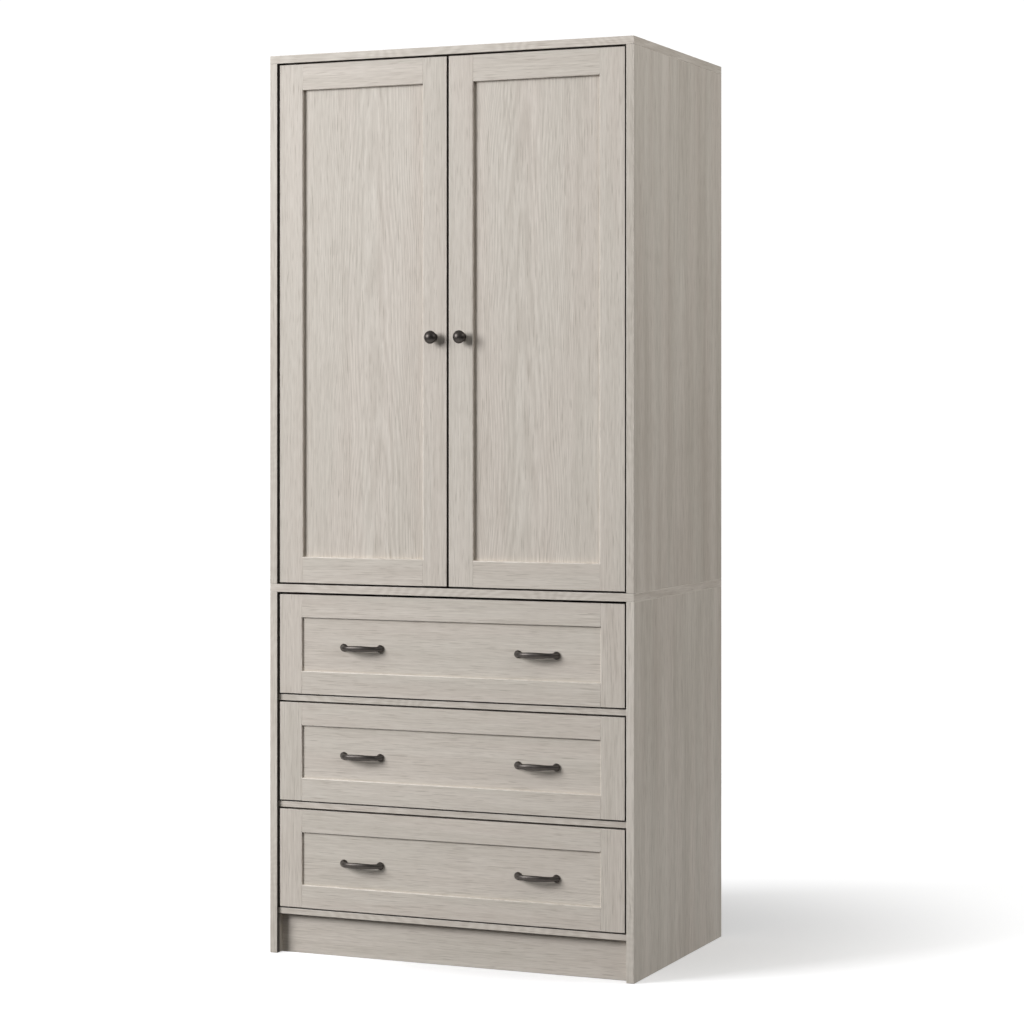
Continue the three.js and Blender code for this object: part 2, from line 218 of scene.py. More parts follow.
class ShaderGraph:
    """The node tree of a material or a world, with one method that adds any node."""

    def __init__(self, owner: bpy.types.Material | bpy.types.World) -> None:
        """Empties a node tree.

        Args:
            owner: the material or world that the tree belongs to.
        """
        owner.use_nodes = True
        self.owner = owner
        self.tree = owner.node_tree
        self.tree.nodes.clear()

    @classmethod
    def of_material(cls, name: str) -> "ShaderGraph":
        """The empty graph of a new material."""
        return cls(bpy.data.materials.new(name))

    def add(
        self,
        kind: str,
        settings: dict[str, object] | None = None,
        inputs: dict[str | int, object] | None = None,
    ) -> bpy.types.Node:
        """Adds a node.

        Args:
            kind: the node's type.
            settings: its properties, which are set first.
            inputs: values or signals for its sockets, by name or index.

        Returns:
            The node.
        """
        made = self.tree.nodes.new(kind)
        for name, value in (settings or {}).items():
            setattr(made, name, value)
        for key, value in (inputs or {}).items():
            self._feed(made.inputs[key], value)
        return made

    def node(
        self,
        kind: str,
        settings: dict[str, object] | None = None,
        inputs: dict[str | int, object] | None = None,
        output: str | int = 0,
    ) -> Signal:
        """Adds a node and takes one of its outputs.

        Args:
            kind: the node's type.
            settings: its properties, which are set first.
            inputs: values or signals for its sockets, by name or index.
            output: the output to return.

        Returns:
            The chosen output.
        """
        return Signal(self, self.add(kind, settings, inputs).outputs[output])

    def _feed(self, socket: bpy.types.NodeSocket, value: object) -> None:
        """Links a signal to a socket, or sets the socket's own value.

        Args:
            socket: the socket.
            value: a signal, a number, a vector or a colour.
        """
        if isinstance(value, Signal):
            self.tree.links.new(value.socket, socket)
        elif socket.type == "RGBA":
            socket.default_value = (*value, 1.0)
        else:
            socket.default_value = value

    def blend(self, share: "Signal | float", first: object, second: object) -> Signal:
        """Mixes two colours.

        Args:
            share: how much of the second colour there is, from 0 to 1.
            first: a colour or a signal.
            second: a colour or a signal.

        Returns:
            The mixed colour.
        """
        inputs = {MIX_SHARE: share, MIX_FIRST: first, MIX_SECOND: second}
        return self.node("ShaderNodeMix", {"data_type": "RGBA"}, inputs, MIX_RESULT)

    def part(self, vector: Signal, letter: str) -> Signal:
        """One component of a vector."""
        return self.node("ShaderNodeSeparateXYZ", None, {0: vector}, letter)

    def noise(self, vector: Signal, layer: Layer) -> Signal:
        """Adds smooth noise.

        Args:
            vector: the coordinates, in metres.
            layer: the noise's rates and octaves.

        Returns:
            A value around the middle.
        """
        scaling = {0: vector, 1: layer.rate}
        place = self.node("ShaderNodeVectorMath", {"operation": "MULTIPLY"}, scaling)
        inputs = {"Vector": place, "Scale": 1.0, "Detail": layer.octaves, "Roughness": layer.coarse}
        return self.node("ShaderNodeTexNoise", {"noise_dimensions": "3D"}, inputs)

    def swing(self, vector: Signal, layer: Layer) -> Signal:
        """The noise of a layer about 0, times its share."""
        return (self.noise(vector, layer) - MID) * layer.share

    def patches(self, vector: Signal, layer: Layer) -> Signal:
        """The patches where a layer's noise is above its span, with soft rims."""
        return self.noise(vector, layer).step(*layer.span)

    def coordinates(self) -> Signal:
        """The piece's own object coordinates, in metres."""
        return self.node("ShaderNodeTexCoord", output="Object")

    def attribute(self, name: str, output: str = "Fac") -> Signal:
        """Reads a mesh attribute."""
        return self.node("ShaderNodeAttribute", {"attribute_name": name}, output=output)

    def relief(self, height: Signal, depth: float, strength: float) -> Signal:
        """Turns a height into a bumped normal.

        Args:
            height: the relief, from 0 to 1.
            depth: how deep a height of 1 is, in metres.
            strength: the share of the effect that is used.

        Returns:
            The normal.
        """
        inputs = {"Strength": strength, "Distance": depth, "Height": height}
        return self.node("ShaderNodeBump", None, inputs)

    def surface(self, inputs: dict[str | int, object]) -> bpy.types.Material:
        """Ends the graph in a Principled shader.

        Args:
            inputs: values or signals for the shader's sockets.

        Returns:
            The finished material.
        """
        shader = self.node("ShaderNodeBsdfPrincipled", None, inputs)
        self.add("ShaderNodeOutputMaterial", None, {"Surface": shader})
        return self.owner


# ---------------------------------------------------------------------------- finishes


@dataclass(frozen=True)
class OakLaminate:
    """Whitewashed oak woodgrain: soft bands, long fibre streaks, a faint cathedral figure and pores.

    It reads the grain attribute, which is (along the fibre, across the board, through it) in metres,
    the edge attribute, which is 1 on eased edges, and the crevice attribute, which is 1
    on faces that line the gap round a door or drawer. Those faces get near-black painted shade near
    the front, so that the gaps look dark.
    """

    name: str = "whitewashed_oak_laminate"
    pale: Colour = (0.790, 0.726, 0.643)
    deep: Colour = (0.500, 0.440, 0.370)
    pore: Colour = (0.300, 0.252, 0.200)
    warm: Colour = (0.680, 0.600, 0.524)
    cool: Colour = (0.634, 0.600, 0.519)
    # A lighter colour for patches on eased edges: partly edge wear, partly painted highlight.
    rim: Colour = (0.840, 0.785, 0.705)
    # Near-black painted shade for the faces that line the gaps round doors and drawers.
    grime: Colour = (0.030, 0.024, 0.019)
    bands: Layer = Layer((0.9, 48.0, 48.0), 3.0, 0.6, share=0.60)
    fibres: Layer = Layer((9.0, 260.0, 260.0), 3.0, 0.65, share=0.72, relief=0.5, dull=0.16)
    dashes: Layer = Layer((34.0, 340.0, 340.0), 2.0, 0.6, share=0.50)
    threads: Layer = Layer((16.0, 800.0, 800.0), 2.0, 0.6, share=0.6, relief=0.3)
    pores: Layer = Layer(
        (24.0, 620.0, 620.0), 1.0, share=0.36, relief=0.6, dull=0.12, span=(0.58, 0.72)
    )
    tint: Layer = Layer((1.6, 16.0, 16.0), 1.0, share=0.2, span=(0.35, 0.65))
    # Where the eased edges take the lighter colour: partly edge wear, partly painted highlight.
    wear: Layer = Layer((60.0, 200.0, 200.0), 3.0, 0.6, share=0.7, dull=0.06, span=(0.3, 0.65))
    wander: Layer = Layer((2.2, 3.0, 3.0), 1.0, share=0.06)
    ripple: Layer = Layer((7.0, 40.0, 40.0), 2.0, share=1.3)
    ring_spread: float = 1500.0
    ring_rise: float = 5.0
    ring_relief: float = 0.08
    figure: float = 0.30
    figure_gain: float = 1.6
    tone_span: Span = (-0.1, 1.1)
    # How strongly the painted gap shade darkens, and the Y over which it fades out behind the front.
    grime_share: float = 0.9
    grime_span: Span = (-0.242, -0.234)
    roughness: float = 0.52
    specular: float = 0.35
    depth: float = 0.12 * MM
    bump: float = 0.55

    def build(self) -> bpy.types.Material:
        """Makes the material.

        Returns:
            The finished material.
        """
        graph = ShaderGraph.of_material(self.name)
        grain = graph.attribute("grain", "Vector")
        cathedral = self._cathedral(graph, grain)
        fibres = graph.noise(grain, self.fibres)
        dashes = graph.noise(grain, self.dashes)
        threads = graph.noise(grain, self.threads)
        pores = graph.patches(grain, self.pores)
        tone = (
            MID
            + graph.swing(grain, self.bands)
            + (fibres - MID) * self.fibres.share
            + (dashes - MID) * self.dashes.share
            + (threads - MID) * self.threads.share
            + (cathedral - MID) * self.figure * dashes * self.figure_gain
        )
        colour = graph.blend(tone.step(*self.tone_span), self.deep, self.pale)
        tint = graph.blend(graph.patches(grain, self.tint), self.warm, self.cool)
        colour = graph.blend(self.tint.share, colour, tint)
        colour = graph.blend(pores * self.pores.share, colour, self.pore)
        # Lighter patches on eased edges, partly edge wear and partly painted highlight.
        worn_and_highlit = graph.attribute("edge") * graph.patches(grain, self.wear)
        colour = graph.blend(worn_and_highlit * self.wear.share, colour, self.rim)
        # Painted shade: faces that line the gaps round doors and drawers turn near-black near the
        # front, where the gaps lie in shade.
        front = 1.0 - graph.part(graph.coordinates(), "Y").step(*self.grime_span)
        lining = graph.attribute("crevice") * front
        colour = graph.blend(lining * self.grime_share, colour, self.grime)
        dull = (fibres - MID) * self.fibres.dull + pores * self.pores.dull - worn_and_highlit * self.wear.dull
        height = fibres * self.fibres.relief + threads * self.threads.relief
        height = height - pores * self.pores.relief + cathedral * self.ring_relief
        return graph.surface(
            {
                "Base Color": colour,
                "Roughness": dull + self.roughness,
                "Specular IOR Level": self.specular,
                "Normal": graph.relief(height, self.depth, self.bump),
            }
        )

    def _cathedral(self, graph: ShaderGraph, grain: Signal) -> Signal:
        """The arches that flat-sawn growth rings make along the middle of a board.

        Args:
            graph: the material's graph.
            grain: the grain attribute.

        Returns:
            Waves between 0 and 1.
        """
        heart = graph.part(grain, "Y") + graph.swing(grain, self.wander)
        rings = heart * heart * self.ring_spread + graph.part(grain, "X") * self.ring_rise
        rings = rings + graph.swing(grain, self.ripple)
        return (rings * math.tau).sine() * MID + MID


@dataclass(frozen=True)
class Hardboard:
    """Thin pressed board with a pale printed face: fine pulp mottling and stray fibres."""

    name: str = "back_hardboard"
    base: Colour = (0.46, 0.39, 0.31)
    dark: Colour = (0.33, 0.265, 0.20)
    fleck: Colour = (0.60, 0.53, 0.44)
    mottle: Layer = Layer.even(90.0, 5.0, 0.65, share=0.7, dull=0.2)
    cloud: Layer = Layer.even(5.0, 2.0, share=0.3)
    strands: Layer = Layer((300.0, 300.0, 900.0), 3.0, 0.6, share=0.35, relief=0.4, span=(0.58, 0.72))
    edge_dark: float = 0.8
    roughness: float = 0.62
    specular: float = 0.25
    depth: float = 0.2 * MM
    bump: float = 0.5

    def build(self) -> bpy.types.Material:
        """Makes the material.

        Returns:
            The finished material.
        """
        graph = ShaderGraph.of_material(self.name)
        place = graph.coordinates()
        mottle = graph.noise(place, self.mottle)
        cloud = graph.noise(place, self.cloud)
        strands = graph.patches(place, self.strands)
        pulp = mottle * self.mottle.share + cloud * self.cloud.share
        colour = graph.blend(pulp, self.dark, self.base)
        colour = graph.blend(strands * self.strands.share, colour, self.fleck)
        colour = graph.blend(graph.attribute("edge") * mottle * self.edge_dark, colour, self.dark)
        height = mottle + strands * self.strands.relief
        return graph.surface(
            {
                "Base Color": colour,
                "Roughness": mottle * self.mottle.dull + self.roughness,
                "Specular IOR Level": self.specular,
                "Normal": graph.relief(height, self.depth, self.bump),
            }
        )


@dataclass(frozen=True)
class MetalFinish:
    """A metal skin with fine casting or brushing texture, cloudy sheen and rubbed edges."""

    name: str
    base: Colour
    rubbed: Colour
    metallic: float
    roughness: float
    texture: Layer
    depth: float
    cloud: Layer = Layer.even(70.0, 3.0, share=0.6)
    sheen_swing: float = 0.12
    rub_floor: float = 0.18
    rub_share: float = 0.55
    coat: float = 0.0
    coat_roughness: float = 0.25
    bump: float = 0.5

    @staticmethod
    def skin(along_x: float, along_y: float, along_z: float) -> Layer:
        """The fine texture of a metal, from its waves to the metre along each axis."""
        return Layer((along_x, along_y, along_z), 4.0, 0.6, share=0.5, span=(0.35, 0.65))

    def build(self) -> bpy.types.Material:
        """Makes the material.

        Returns:
            The finished material.
        """
        graph = ShaderGraph.of_material(self.name)
        place = graph.coordinates()
        fine = graph.noise(place, self.texture)
        cloud = graph.noise(place, self.cloud)
        rubbing = (fine - MID) * self.texture.share + (cloud - MID) * self.cloud.share + self.rub_floor
        colour = graph.blend(rubbing, self.base, self.rubbed)
        rub = graph.attribute("edge") * fine.step(*self.texture.span)
        colour = graph.blend(rub * self.rub_share, colour, self.rubbed)
        sheen = (cloud - MID) * self.sheen_swing + (fine - MID) * self.sheen_swing
        return graph.surface(
            {
                "Base Color": colour,
                "Metallic": self.metallic,
                "Roughness": sheen + self.roughness,
                "Coat Weight": self.coat,
                "Coat Roughness": self.coat_roughness,
                "Normal": graph.relief(fine, self.depth, self.bump),
            }
        )


@dataclass(frozen=True)
class Moulded:
    """Moulded nylon or rubber with a faint orange-peel skin and handling marks."""

    name: str
    base: Colour
    mark: Colour
    roughness: float
    peel: Layer = Layer.even(900.0, 2.0)
    marks: Layer = Layer.even(120.0, 3.0, 0.6, share=0.5, dull=0.2, span=(0.45, 0.75))
    depth: float = 0.05 * MM
    bump: float = 0.4

    def build(self) -> bpy.types.Material:
        """Makes the material.

        Returns:
            The finished material.
        """
        graph = ShaderGraph.of_material(self.name)
        place = graph.coordinates()
        marks = graph.noise(place, self.marks)
        handled = marks.step(*self.marks.span) * self.marks.share
        return graph.surface(
            {
                "Base Color": graph.blend(handled, self.base, self.mark),
                "Roughness": (marks - MID) * self.marks.dull + self.roughness,
                "Normal": graph.relief(graph.noise(place, self.peel), self.depth, self.bump),
            }
        )


class Finish(Enum):
    """Every finish on the armoire, by the name that the pieces use."""

    OAK = "oak_laminate"
    OAK_SIDE = "oak_laminate_side"
    DRAWER = "drawer_board"
    HARDBOARD = "hardboard"
    BRONZE = "dark_bronze"
    HINGE = "hinge_steel"
    RUNNER = "runner_enamel"
    ROD = "rod_chrome"
    NYLON = "nylon"
    SCREW = "screw_zinc"


RECIPES = {
    Finish.OAK: OakLaminate(),
    Finish.OAK_SIDE: OakLaminate(
        "whitewashed_oak_sides",
        bands=Layer((0.9, 17.0, 17.0), 3.0, 0.6, share=1.5),
        figure=0.15,
    ),
    Finish.DRAWER: OakLaminate(
        "drawer_board_paper",
        pale=(0.720, 0.670, 0.595),
        deep=(0.560, 0.505, 0.435),
        figure=0.08,
        roughness=0.6,
    ),
    Finish.HARDBOARD: Hardboard(),
    Finish.BRONZE: MetalFinish(
        "dark_bronze_casting",
        base=(0.046, 0.040, 0.036),
        rubbed=(0.125, 0.105, 0.088),
        metallic=0.7,
        roughness=0.38,
        texture=MetalFinish.skin(900.0, 900.0, 900.0),
        depth=0.03 * MM,
    ),
    Finish.HINGE: MetalFinish(
        "nickel_plated_steel",
        base=(0.52, 0.51, 0.49),
        rubbed=(0.70, 0.69, 0.67),
        metallic=1.0,
        roughness=0.30,
        texture=MetalFinish.skin(2400.0, 200.0, 900.0),
        depth=0.02 * MM,
    ),
    Finish.RUNNER: MetalFinish(
        "white_runner_enamel",
        base=(0.74, 0.73, 0.70),
        rubbed=(0.62, 0.61, 0.59),
        metallic=0.0,
        roughness=0.42,
        texture=MetalFinish.skin(1500.0, 1500.0, 1500.0),
        depth=0.03 * MM,
        coat=0.2,
    ),
    Finish.ROD: MetalFinish(
        "chromed_tube",
        base=(0.60, 0.61, 0.62),
        rubbed=(0.74, 0.75, 0.76),
        metallic=1.0,
        roughness=0.14,
        texture=MetalFinish.skin(60.0, 2600.0, 2600.0),
        depth=0.01 * MM,
        sheen_swing=0.06,
    ),
    Finish.NYLON: Moulded("white_nylon", (0.72, 0.71, 0.68), (0.55, 0.53, 0.50), 0.45),
    Finish.SCREW: MetalFinish(
        "zinc_screw",
        base=(0.42, 0.41, 0.38),
        rubbed=(0.66, 0.64, 0.60),
        metallic=1.0,
        roughness=0.33,
        texture=MetalFinish.skin(2200.0, 2200.0, 2200.0),
        depth=0.03 * MM,
    ),
}


# ---------------------------------------------------------------------------- shapes


@dataclass(frozen=True)
class Extent:
    """A box given by its lowest and highest corner."""

    low: Vector
    high: Vector

    @classmethod
    def of(cls, node: str) -> "Extent":
        """The box of a CAD node."""
        return cls(*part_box(node))

    @property
    def size(self) -> Vector:
        """The box's three sides."""
        return self.high - self.low

    @property
    def centre(self) -> Vector:
        """The middle of the box."""
        return (self.low + self.high) / 2


def block(extent: Extent) -> BMesh:
    """A plain box.

    Args:
        extent: the space that it fills.

    Returns:
        The box.
    """
    shape = bmesh.new()
    place = Matrix.Translation(extent.centre) @ Matrix.Diagonal((*extent.size, 1.0))
    bmesh.ops.create_cube(shape, size=1.0, matrix=place)
    return shape


def cad_copy(node: str) -> BMesh:
    """A merged copy of a CAD node's mesh, with its flat faces made whole.

    Args:
        node: the node's name.

    Returns:
        The copy.
    """
    shape = bmesh.new()
    shape.from_mesh(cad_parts[node].data)
    bmesh.ops.remove_doubles(shape, verts=shape.verts, dist=MERGE)
    bend = math.radians(1)
    bmesh.ops.dissolve_limit(shape, angle_limit=bend, verts=shape.verts, edges=shape.edges)
    return shape


def ease(
    shape: BMesh, width: float, edges: Sequence[BMEdge] | None = None, segments: int = 2
) -> BMesh:
    """Rounds edges over.

    Args:
        shape: the shape to change.
        width: how far the rounding reaches along each face.
        edges: the edges to round, or every edge sharper than 50 degrees.
        segments: the faces across the rounding.

    Returns:
        The same shape.
    """
    if edges is None:
        sharp = math.radians(50)
        edges = [e for e in shape.edges if e.is_manifold and e.calc_face_angle(0.0) > sharp]
    bmesh.ops.bevel(
        shape,
        geom=list(edges),
        offset=width,
        offset_type="OFFSET",
        affect="EDGES",
        segments=segments,
        profile=0.5,
        material=-1,
        clamp_overlap=True,
    )
    return shape


def edges_where(shape: BMesh, test: Callable[[Vector], bool]) -> list[BMEdge]:
    """The edges whose both ends pass a test."""
    return [e for e in shape.edges if all(test(v.co) for v in e.verts)]


def near(first: float, second: float) -> bool:
    """Whether two places are the same to a hundredth of a millimetre."""
    return abs(first - second) < TOUCH


def is_flat(normal: Vector) -> bool:
    """Whether a face looks straight along an axis, as a board's main faces do."""
    return max(abs(part) for part in normal) >= FLAT


def clamped(value: float) -> float:
    """A value kept between 0 and 1."""
    return min(max(value, 0.0), 1.0)


def turned(profile: Profile, base: Vector, axis: Vector, steps: int) -> BMesh:
    """Turns a profile about an axis.

    Args:
        profile: points of (radius, distance along the axis), in metres.
        base: the point where the distance is 0.
        axis: the unit direction of the axis.
        steps: the faces round the axis.

    Returns:
        A closed shape, if the profile starts and ends on the axis or closes on itself.
    """
    shape = bmesh.new()
    across = axis.orthogonal().normalized()
    points = [shape.verts.new(base + across * radius + axis * reach) for radius, reach in profile]
    edges = [shape.edges.new(pair) for pair in zip(points, points[1:])]
    bmesh.ops.spin(
        shape,
        geom=points + edges,
        cent=base,
        axis=axis,
        dvec=(0.0, 0.0, 0.0),
        angle=math.tau,
        steps=steps,
        use_merge=True,
        use_duplicate=False,
    )
    bmesh.ops.remove_doubles(shape, verts=shape.verts, dist=MERGE)
    bmesh.ops.recalc_face_normals(shape, faces=shape.faces)
    return shape


def swept(sections: Sequence[Matrix], sides: int) -> BMesh:
    """A closed tube through placed unit circles.

    Args:
        sections: each circle's place, with its radii as the scale of its X and Y.
        sides: the faces round the tube.

    Returns:
        The tube with both ends closed.
    """
    shape = bmesh.new()
    bmesh.ops.create_circle(shape, cap_ends=False, segments=sides, radius=1.0, matrix=sections[0])
    ring = list(shape.edges)
    for before, after in zip(sections, sections[1:]):
        made = bmesh.ops.extrude_edge_only(shape, edges=ring)["geom"]
        verts = {g for g in made if isinstance(g, BMVert)}
        bmesh.ops.transform(shape, matrix=after @ before.inverted(), verts=list(verts))
        ring = [g for g in made if isinstance(g, BMEdge) and set(g.verts) <= verts]
    bmesh.ops.holes_fill(shape, edges=[e for e in shape.edges if e.is_boundary], sides=0)
    bmesh.ops.recalc_face_normals(shape, faces=shape.faces)
    return shape


def arc(centre: tuple[float, float], radius: float, start: float, end: float, steps: int) -> Profile:
    """Points on a circle's arc.

    Args:
        centre: the circle's centre in the profile's plane.
        radius: the circle's radius.
        start: the first point's angle in degrees.
        end: the last point's angle in degrees.
        steps: the spaces between points.

    Returns:
        The points, both ends included.
    """
    angles = [math.radians(start + (end - start) * k / steps) for k in range(steps + 1)]
    return [(centre[0] + radius * math.cos(a), centre[1] + radius * math.sin(a)) for a in angles]


def joined(shapes: Sequence[BMesh]) -> BMesh:
    """Several shapes as one.

    Args:
        shapes: the shapes, which are used up.

    Returns:
        The whole.
    """
    whole = bmesh.new()
    for shape in shapes:
        mesh = bpy.data.meshes.new("part")
        shape.to_mesh(mesh)
        shape.free()
        whole.from_mesh(mesh)
        bpy.data.meshes.remove(mesh)
    return whole


def carved(shape: BMesh, tool: BMesh) -> BMesh:
    """Cuts a tool's volume away from a shape.

    Args:
        shape: the shape, which is used up.
        tool: the closed volume to remove, which is used up.

    Returns:
        What is left.
    """
    objects = []
    for name, part in (("work", shape), ("tool", tool)):
        mesh = bpy.data.meshes.new(name)
        part.to_mesh(mesh)
        part.free()
        objects.append(bpy.data.objects.new(name, mesh))
        bpy.context.scene.collection.objects.link(objects[-1])
    work, cutter = objects
    cut = work.modifiers.new("cut", "BOOLEAN")
    cut.operation = "DIFFERENCE"
    cut.solver = "EXACT"
    cut.object = cutter
    left = bmesh.new()
    left.from_object(work, bpy.context.evaluated_depsgraph_get())
    for made in objects:
        mesh = made.data
        bpy.data.objects.remove(made)
        bpy.data.meshes.remove(mesh)
    return left


# ---------------------------------------------------------------------------- bench


class Bench:
    """Where shapes become finished pieces that ride on the frame."""

    # The least cosines between a face that gets painted gap shade and its direction, and an end face
    # and the fibre.
    lining_cosine = 0.8
    end_cosine = 0.75
    # In metres: where a board may start in the pattern, and how far its middle lies from the heart of
    # the tree. A board wider than wide_board shows the heart, and a narrow one doesn't.
    start_range = (0.0, 40.0)
    layer_range = (0.0, 8.0)
    wide_board = 0.2
    near_heart = (-0.03, 0.03)
    off_heart = (0.16, 0.3)
    # A screw head's shape as shares of its radius: (radius, height) from the top of its dome to the
    # rim, then the rim's height, and the half length, half width and floor of its slots.
    screw_dome = ((0.0, 0.62), (0.45, 0.55), (0.82, 0.33))
    screw_rim = 0.12
    screw_slot = (0.55, 0.1, 0.3)

    def __init__(self) -> None:
        """Makes every finish once."""
        self.materials = {finish: recipe.build() for finish, recipe in RECIPES.items()}

    def hand_over(
        self,
        shape: BMesh,
        name: str,
        body: str,
        finish: Finish,
        stands_for: Sequence[str] = (),
        grain: Axis | None = None,
        crease: float | None = None,
        lining: Sequence[Vector] = (),
    ) -> bpy.types.Object:
        """Finishes a piece: its shading, grain, material and body.

        Args:
            shape: the piece's shape, which is used up.
            name: the piece's name.
            body: the CAD body that it rides on.
            finish: its finish.
            stands_for: the CAD nodes that it replaces.
            grain: the way that its fibre runs, on a board.
            crease: the angle in degrees above which a round piece's edges stay sharp, or None for a
                piece of flat faces with eased edges.
            lining: the directions of those faces that line a gap, which get painted shade
                near the front.

        Returns:
            The finished object.
        """
        for face in shape.faces:
            face.smooth = crease is not None or not is_flat(face.normal)
        mesh = bpy.data.meshes.new(name)
        shape.to_mesh(mesh)
        shape.free()
        if crease is not None:
            mesh.set_sharp_from_angle(angle=math.radians(crease))
        self._mark_edges(mesh, crease)
        if grain is not None:
            self._mark_lining(mesh, lining)
            self._lay_grain(mesh, name, grain)
        mesh.materials.append(self.materials[finish])
        piece = bpy.data.objects.new(name, mesh)
        bpy.context.scene.collection.objects.link(piece)
        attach(piece, body)
        if stands_for:
            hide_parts(*stands_for)
        log.info("%s: %d faces on %s, %s", name, len(mesh.polygons), body, finish.value)
        return piece

    def _mark_edges(self, mesh: bpy.types.Mesh, crease: float | None) -> None:
        """Writes the edge attribute: 1 on the eased edges of a board, and 0 elsewhere.

        Args:
            mesh: the piece's mesh.
            crease: the sharp angle of a round piece, which has no eased edges, or None.
        """
        mark = mesh.attributes.new("edge", "FLOAT", "FACE")
        for polygon, item in zip(mesh.polygons, mark.data):
            eased = crease is None and not is_flat(polygon.normal)
            item.value = 1.0 if eased else 0.0

    def _mark_lining(self, mesh: bpy.types.Mesh, lining: Sequence[Vector]) -> None:
        """Writes the crevice attribute: 1 on the faces that line a gap, which get painted
        shade, and 0 elsewhere.

        Args:
            mesh: the board's mesh.
            lining: the directions that such faces look in.
        """
        mark = mesh.attributes.new("crevice", "FLOAT", "FACE")
        for polygon, item in zip(mesh.polygons, mark.data):
            lines = any(polygon.normal.dot(way) > self.lining_cosine for way in lining)
            item.value = 1.0 if lines else 0.0

    def _lay_grain(self, mesh: bpy.types.Mesh, name: str, grain: Axis) -> None:
        """Writes the grain attribute, with a start of its own for every board.

        Args:
            mesh: the board's mesh.
            name: the board's name, which seeds its place in the pattern.
            grain: the way that the fibre runs.
        """
        corners = [v.co for v in mesh.vertices]
        low = Vector([min(c[i] for c in corners) for i in range(3)])
        high = Vector([max(c[i] for c in corners) for i in range(3)])
        wide, thin = sorted({0, 1, 2} - {grain.value}, key=lambda i: low[i] - high[i])
        draw = random.Random(name)
        start = draw.uniform(*self.start_range)
        is_wide = high[wide] - low[wide] > self.wide_board
        heart = draw.uniform(*(self.near_heart if is_wide else self.off_heart))
        layer = draw.uniform(*self.layer_range)
        middle = (low[wide] + high[wide]) / 2
        lay = mesh.attributes.new("grain", "FLOAT_VECTOR", "CORNER")
        for polygon in mesh.polygons:
            end_face = abs(polygon.normal[grain.value]) > self.end_cosine
            for index in polygon.loop_indices:
                place = mesh.vertices[mesh.loops[index].vertex_index].co
                along = place[grain.value]
                across = place[wide] - middle
                through = place[thin] - low[thin]
                if end_face:
                    along, across, through = across, through, along
                lay.data[index].vector = (along + start, across + heart, through + layer)

    def screws(
        self, name: str, body: str, places: Sequence[tuple[Vector, Vector]], radius: float
    ) -> None:
        """Makes cross-head screws as one piece.

        Args:
            name: the piece's name.
            body: the CAD body that they ride on.
            places: each screw's seat and the unit direction that its head faces.
            radius: the radius of a head.
        """
        heads = []
        dome = [(radius * out, radius * rise) for out, rise in self.screw_dome]
        profile = [(0.0, 0.0), (radius, 0.0), (radius, radius * self.screw_rim), *reversed(dome)]
        long, wide, floor = (radius * share for share in self.screw_slot)
        arm = Extent(Vector((-long, -wide, floor)), Vector((long, wide, radius)))
        for seat, facing in places:
            head = turned(profile, Vector(), UP, 20)
            for turn in (0.0, math.pi / 2):
                slot = block(arm)
                bmesh.ops.rotate(slot, verts=slot.verts, matrix=Matrix.Rotation(turn, 3, "Z"))
                head = carved(head, slot)
            place = Matrix.Translation(seat) @ facing.to_track_quat("Z", "Y").to_matrix().to_4x4()
            bmesh.ops.transform(head, matrix=place, verts=head.verts)
            heads.append(head)
        self.hand_over(joined(heads), name, body, Finish.SCREW, crease=35.0)


# ---------------------------------------------------------------------------- carcass


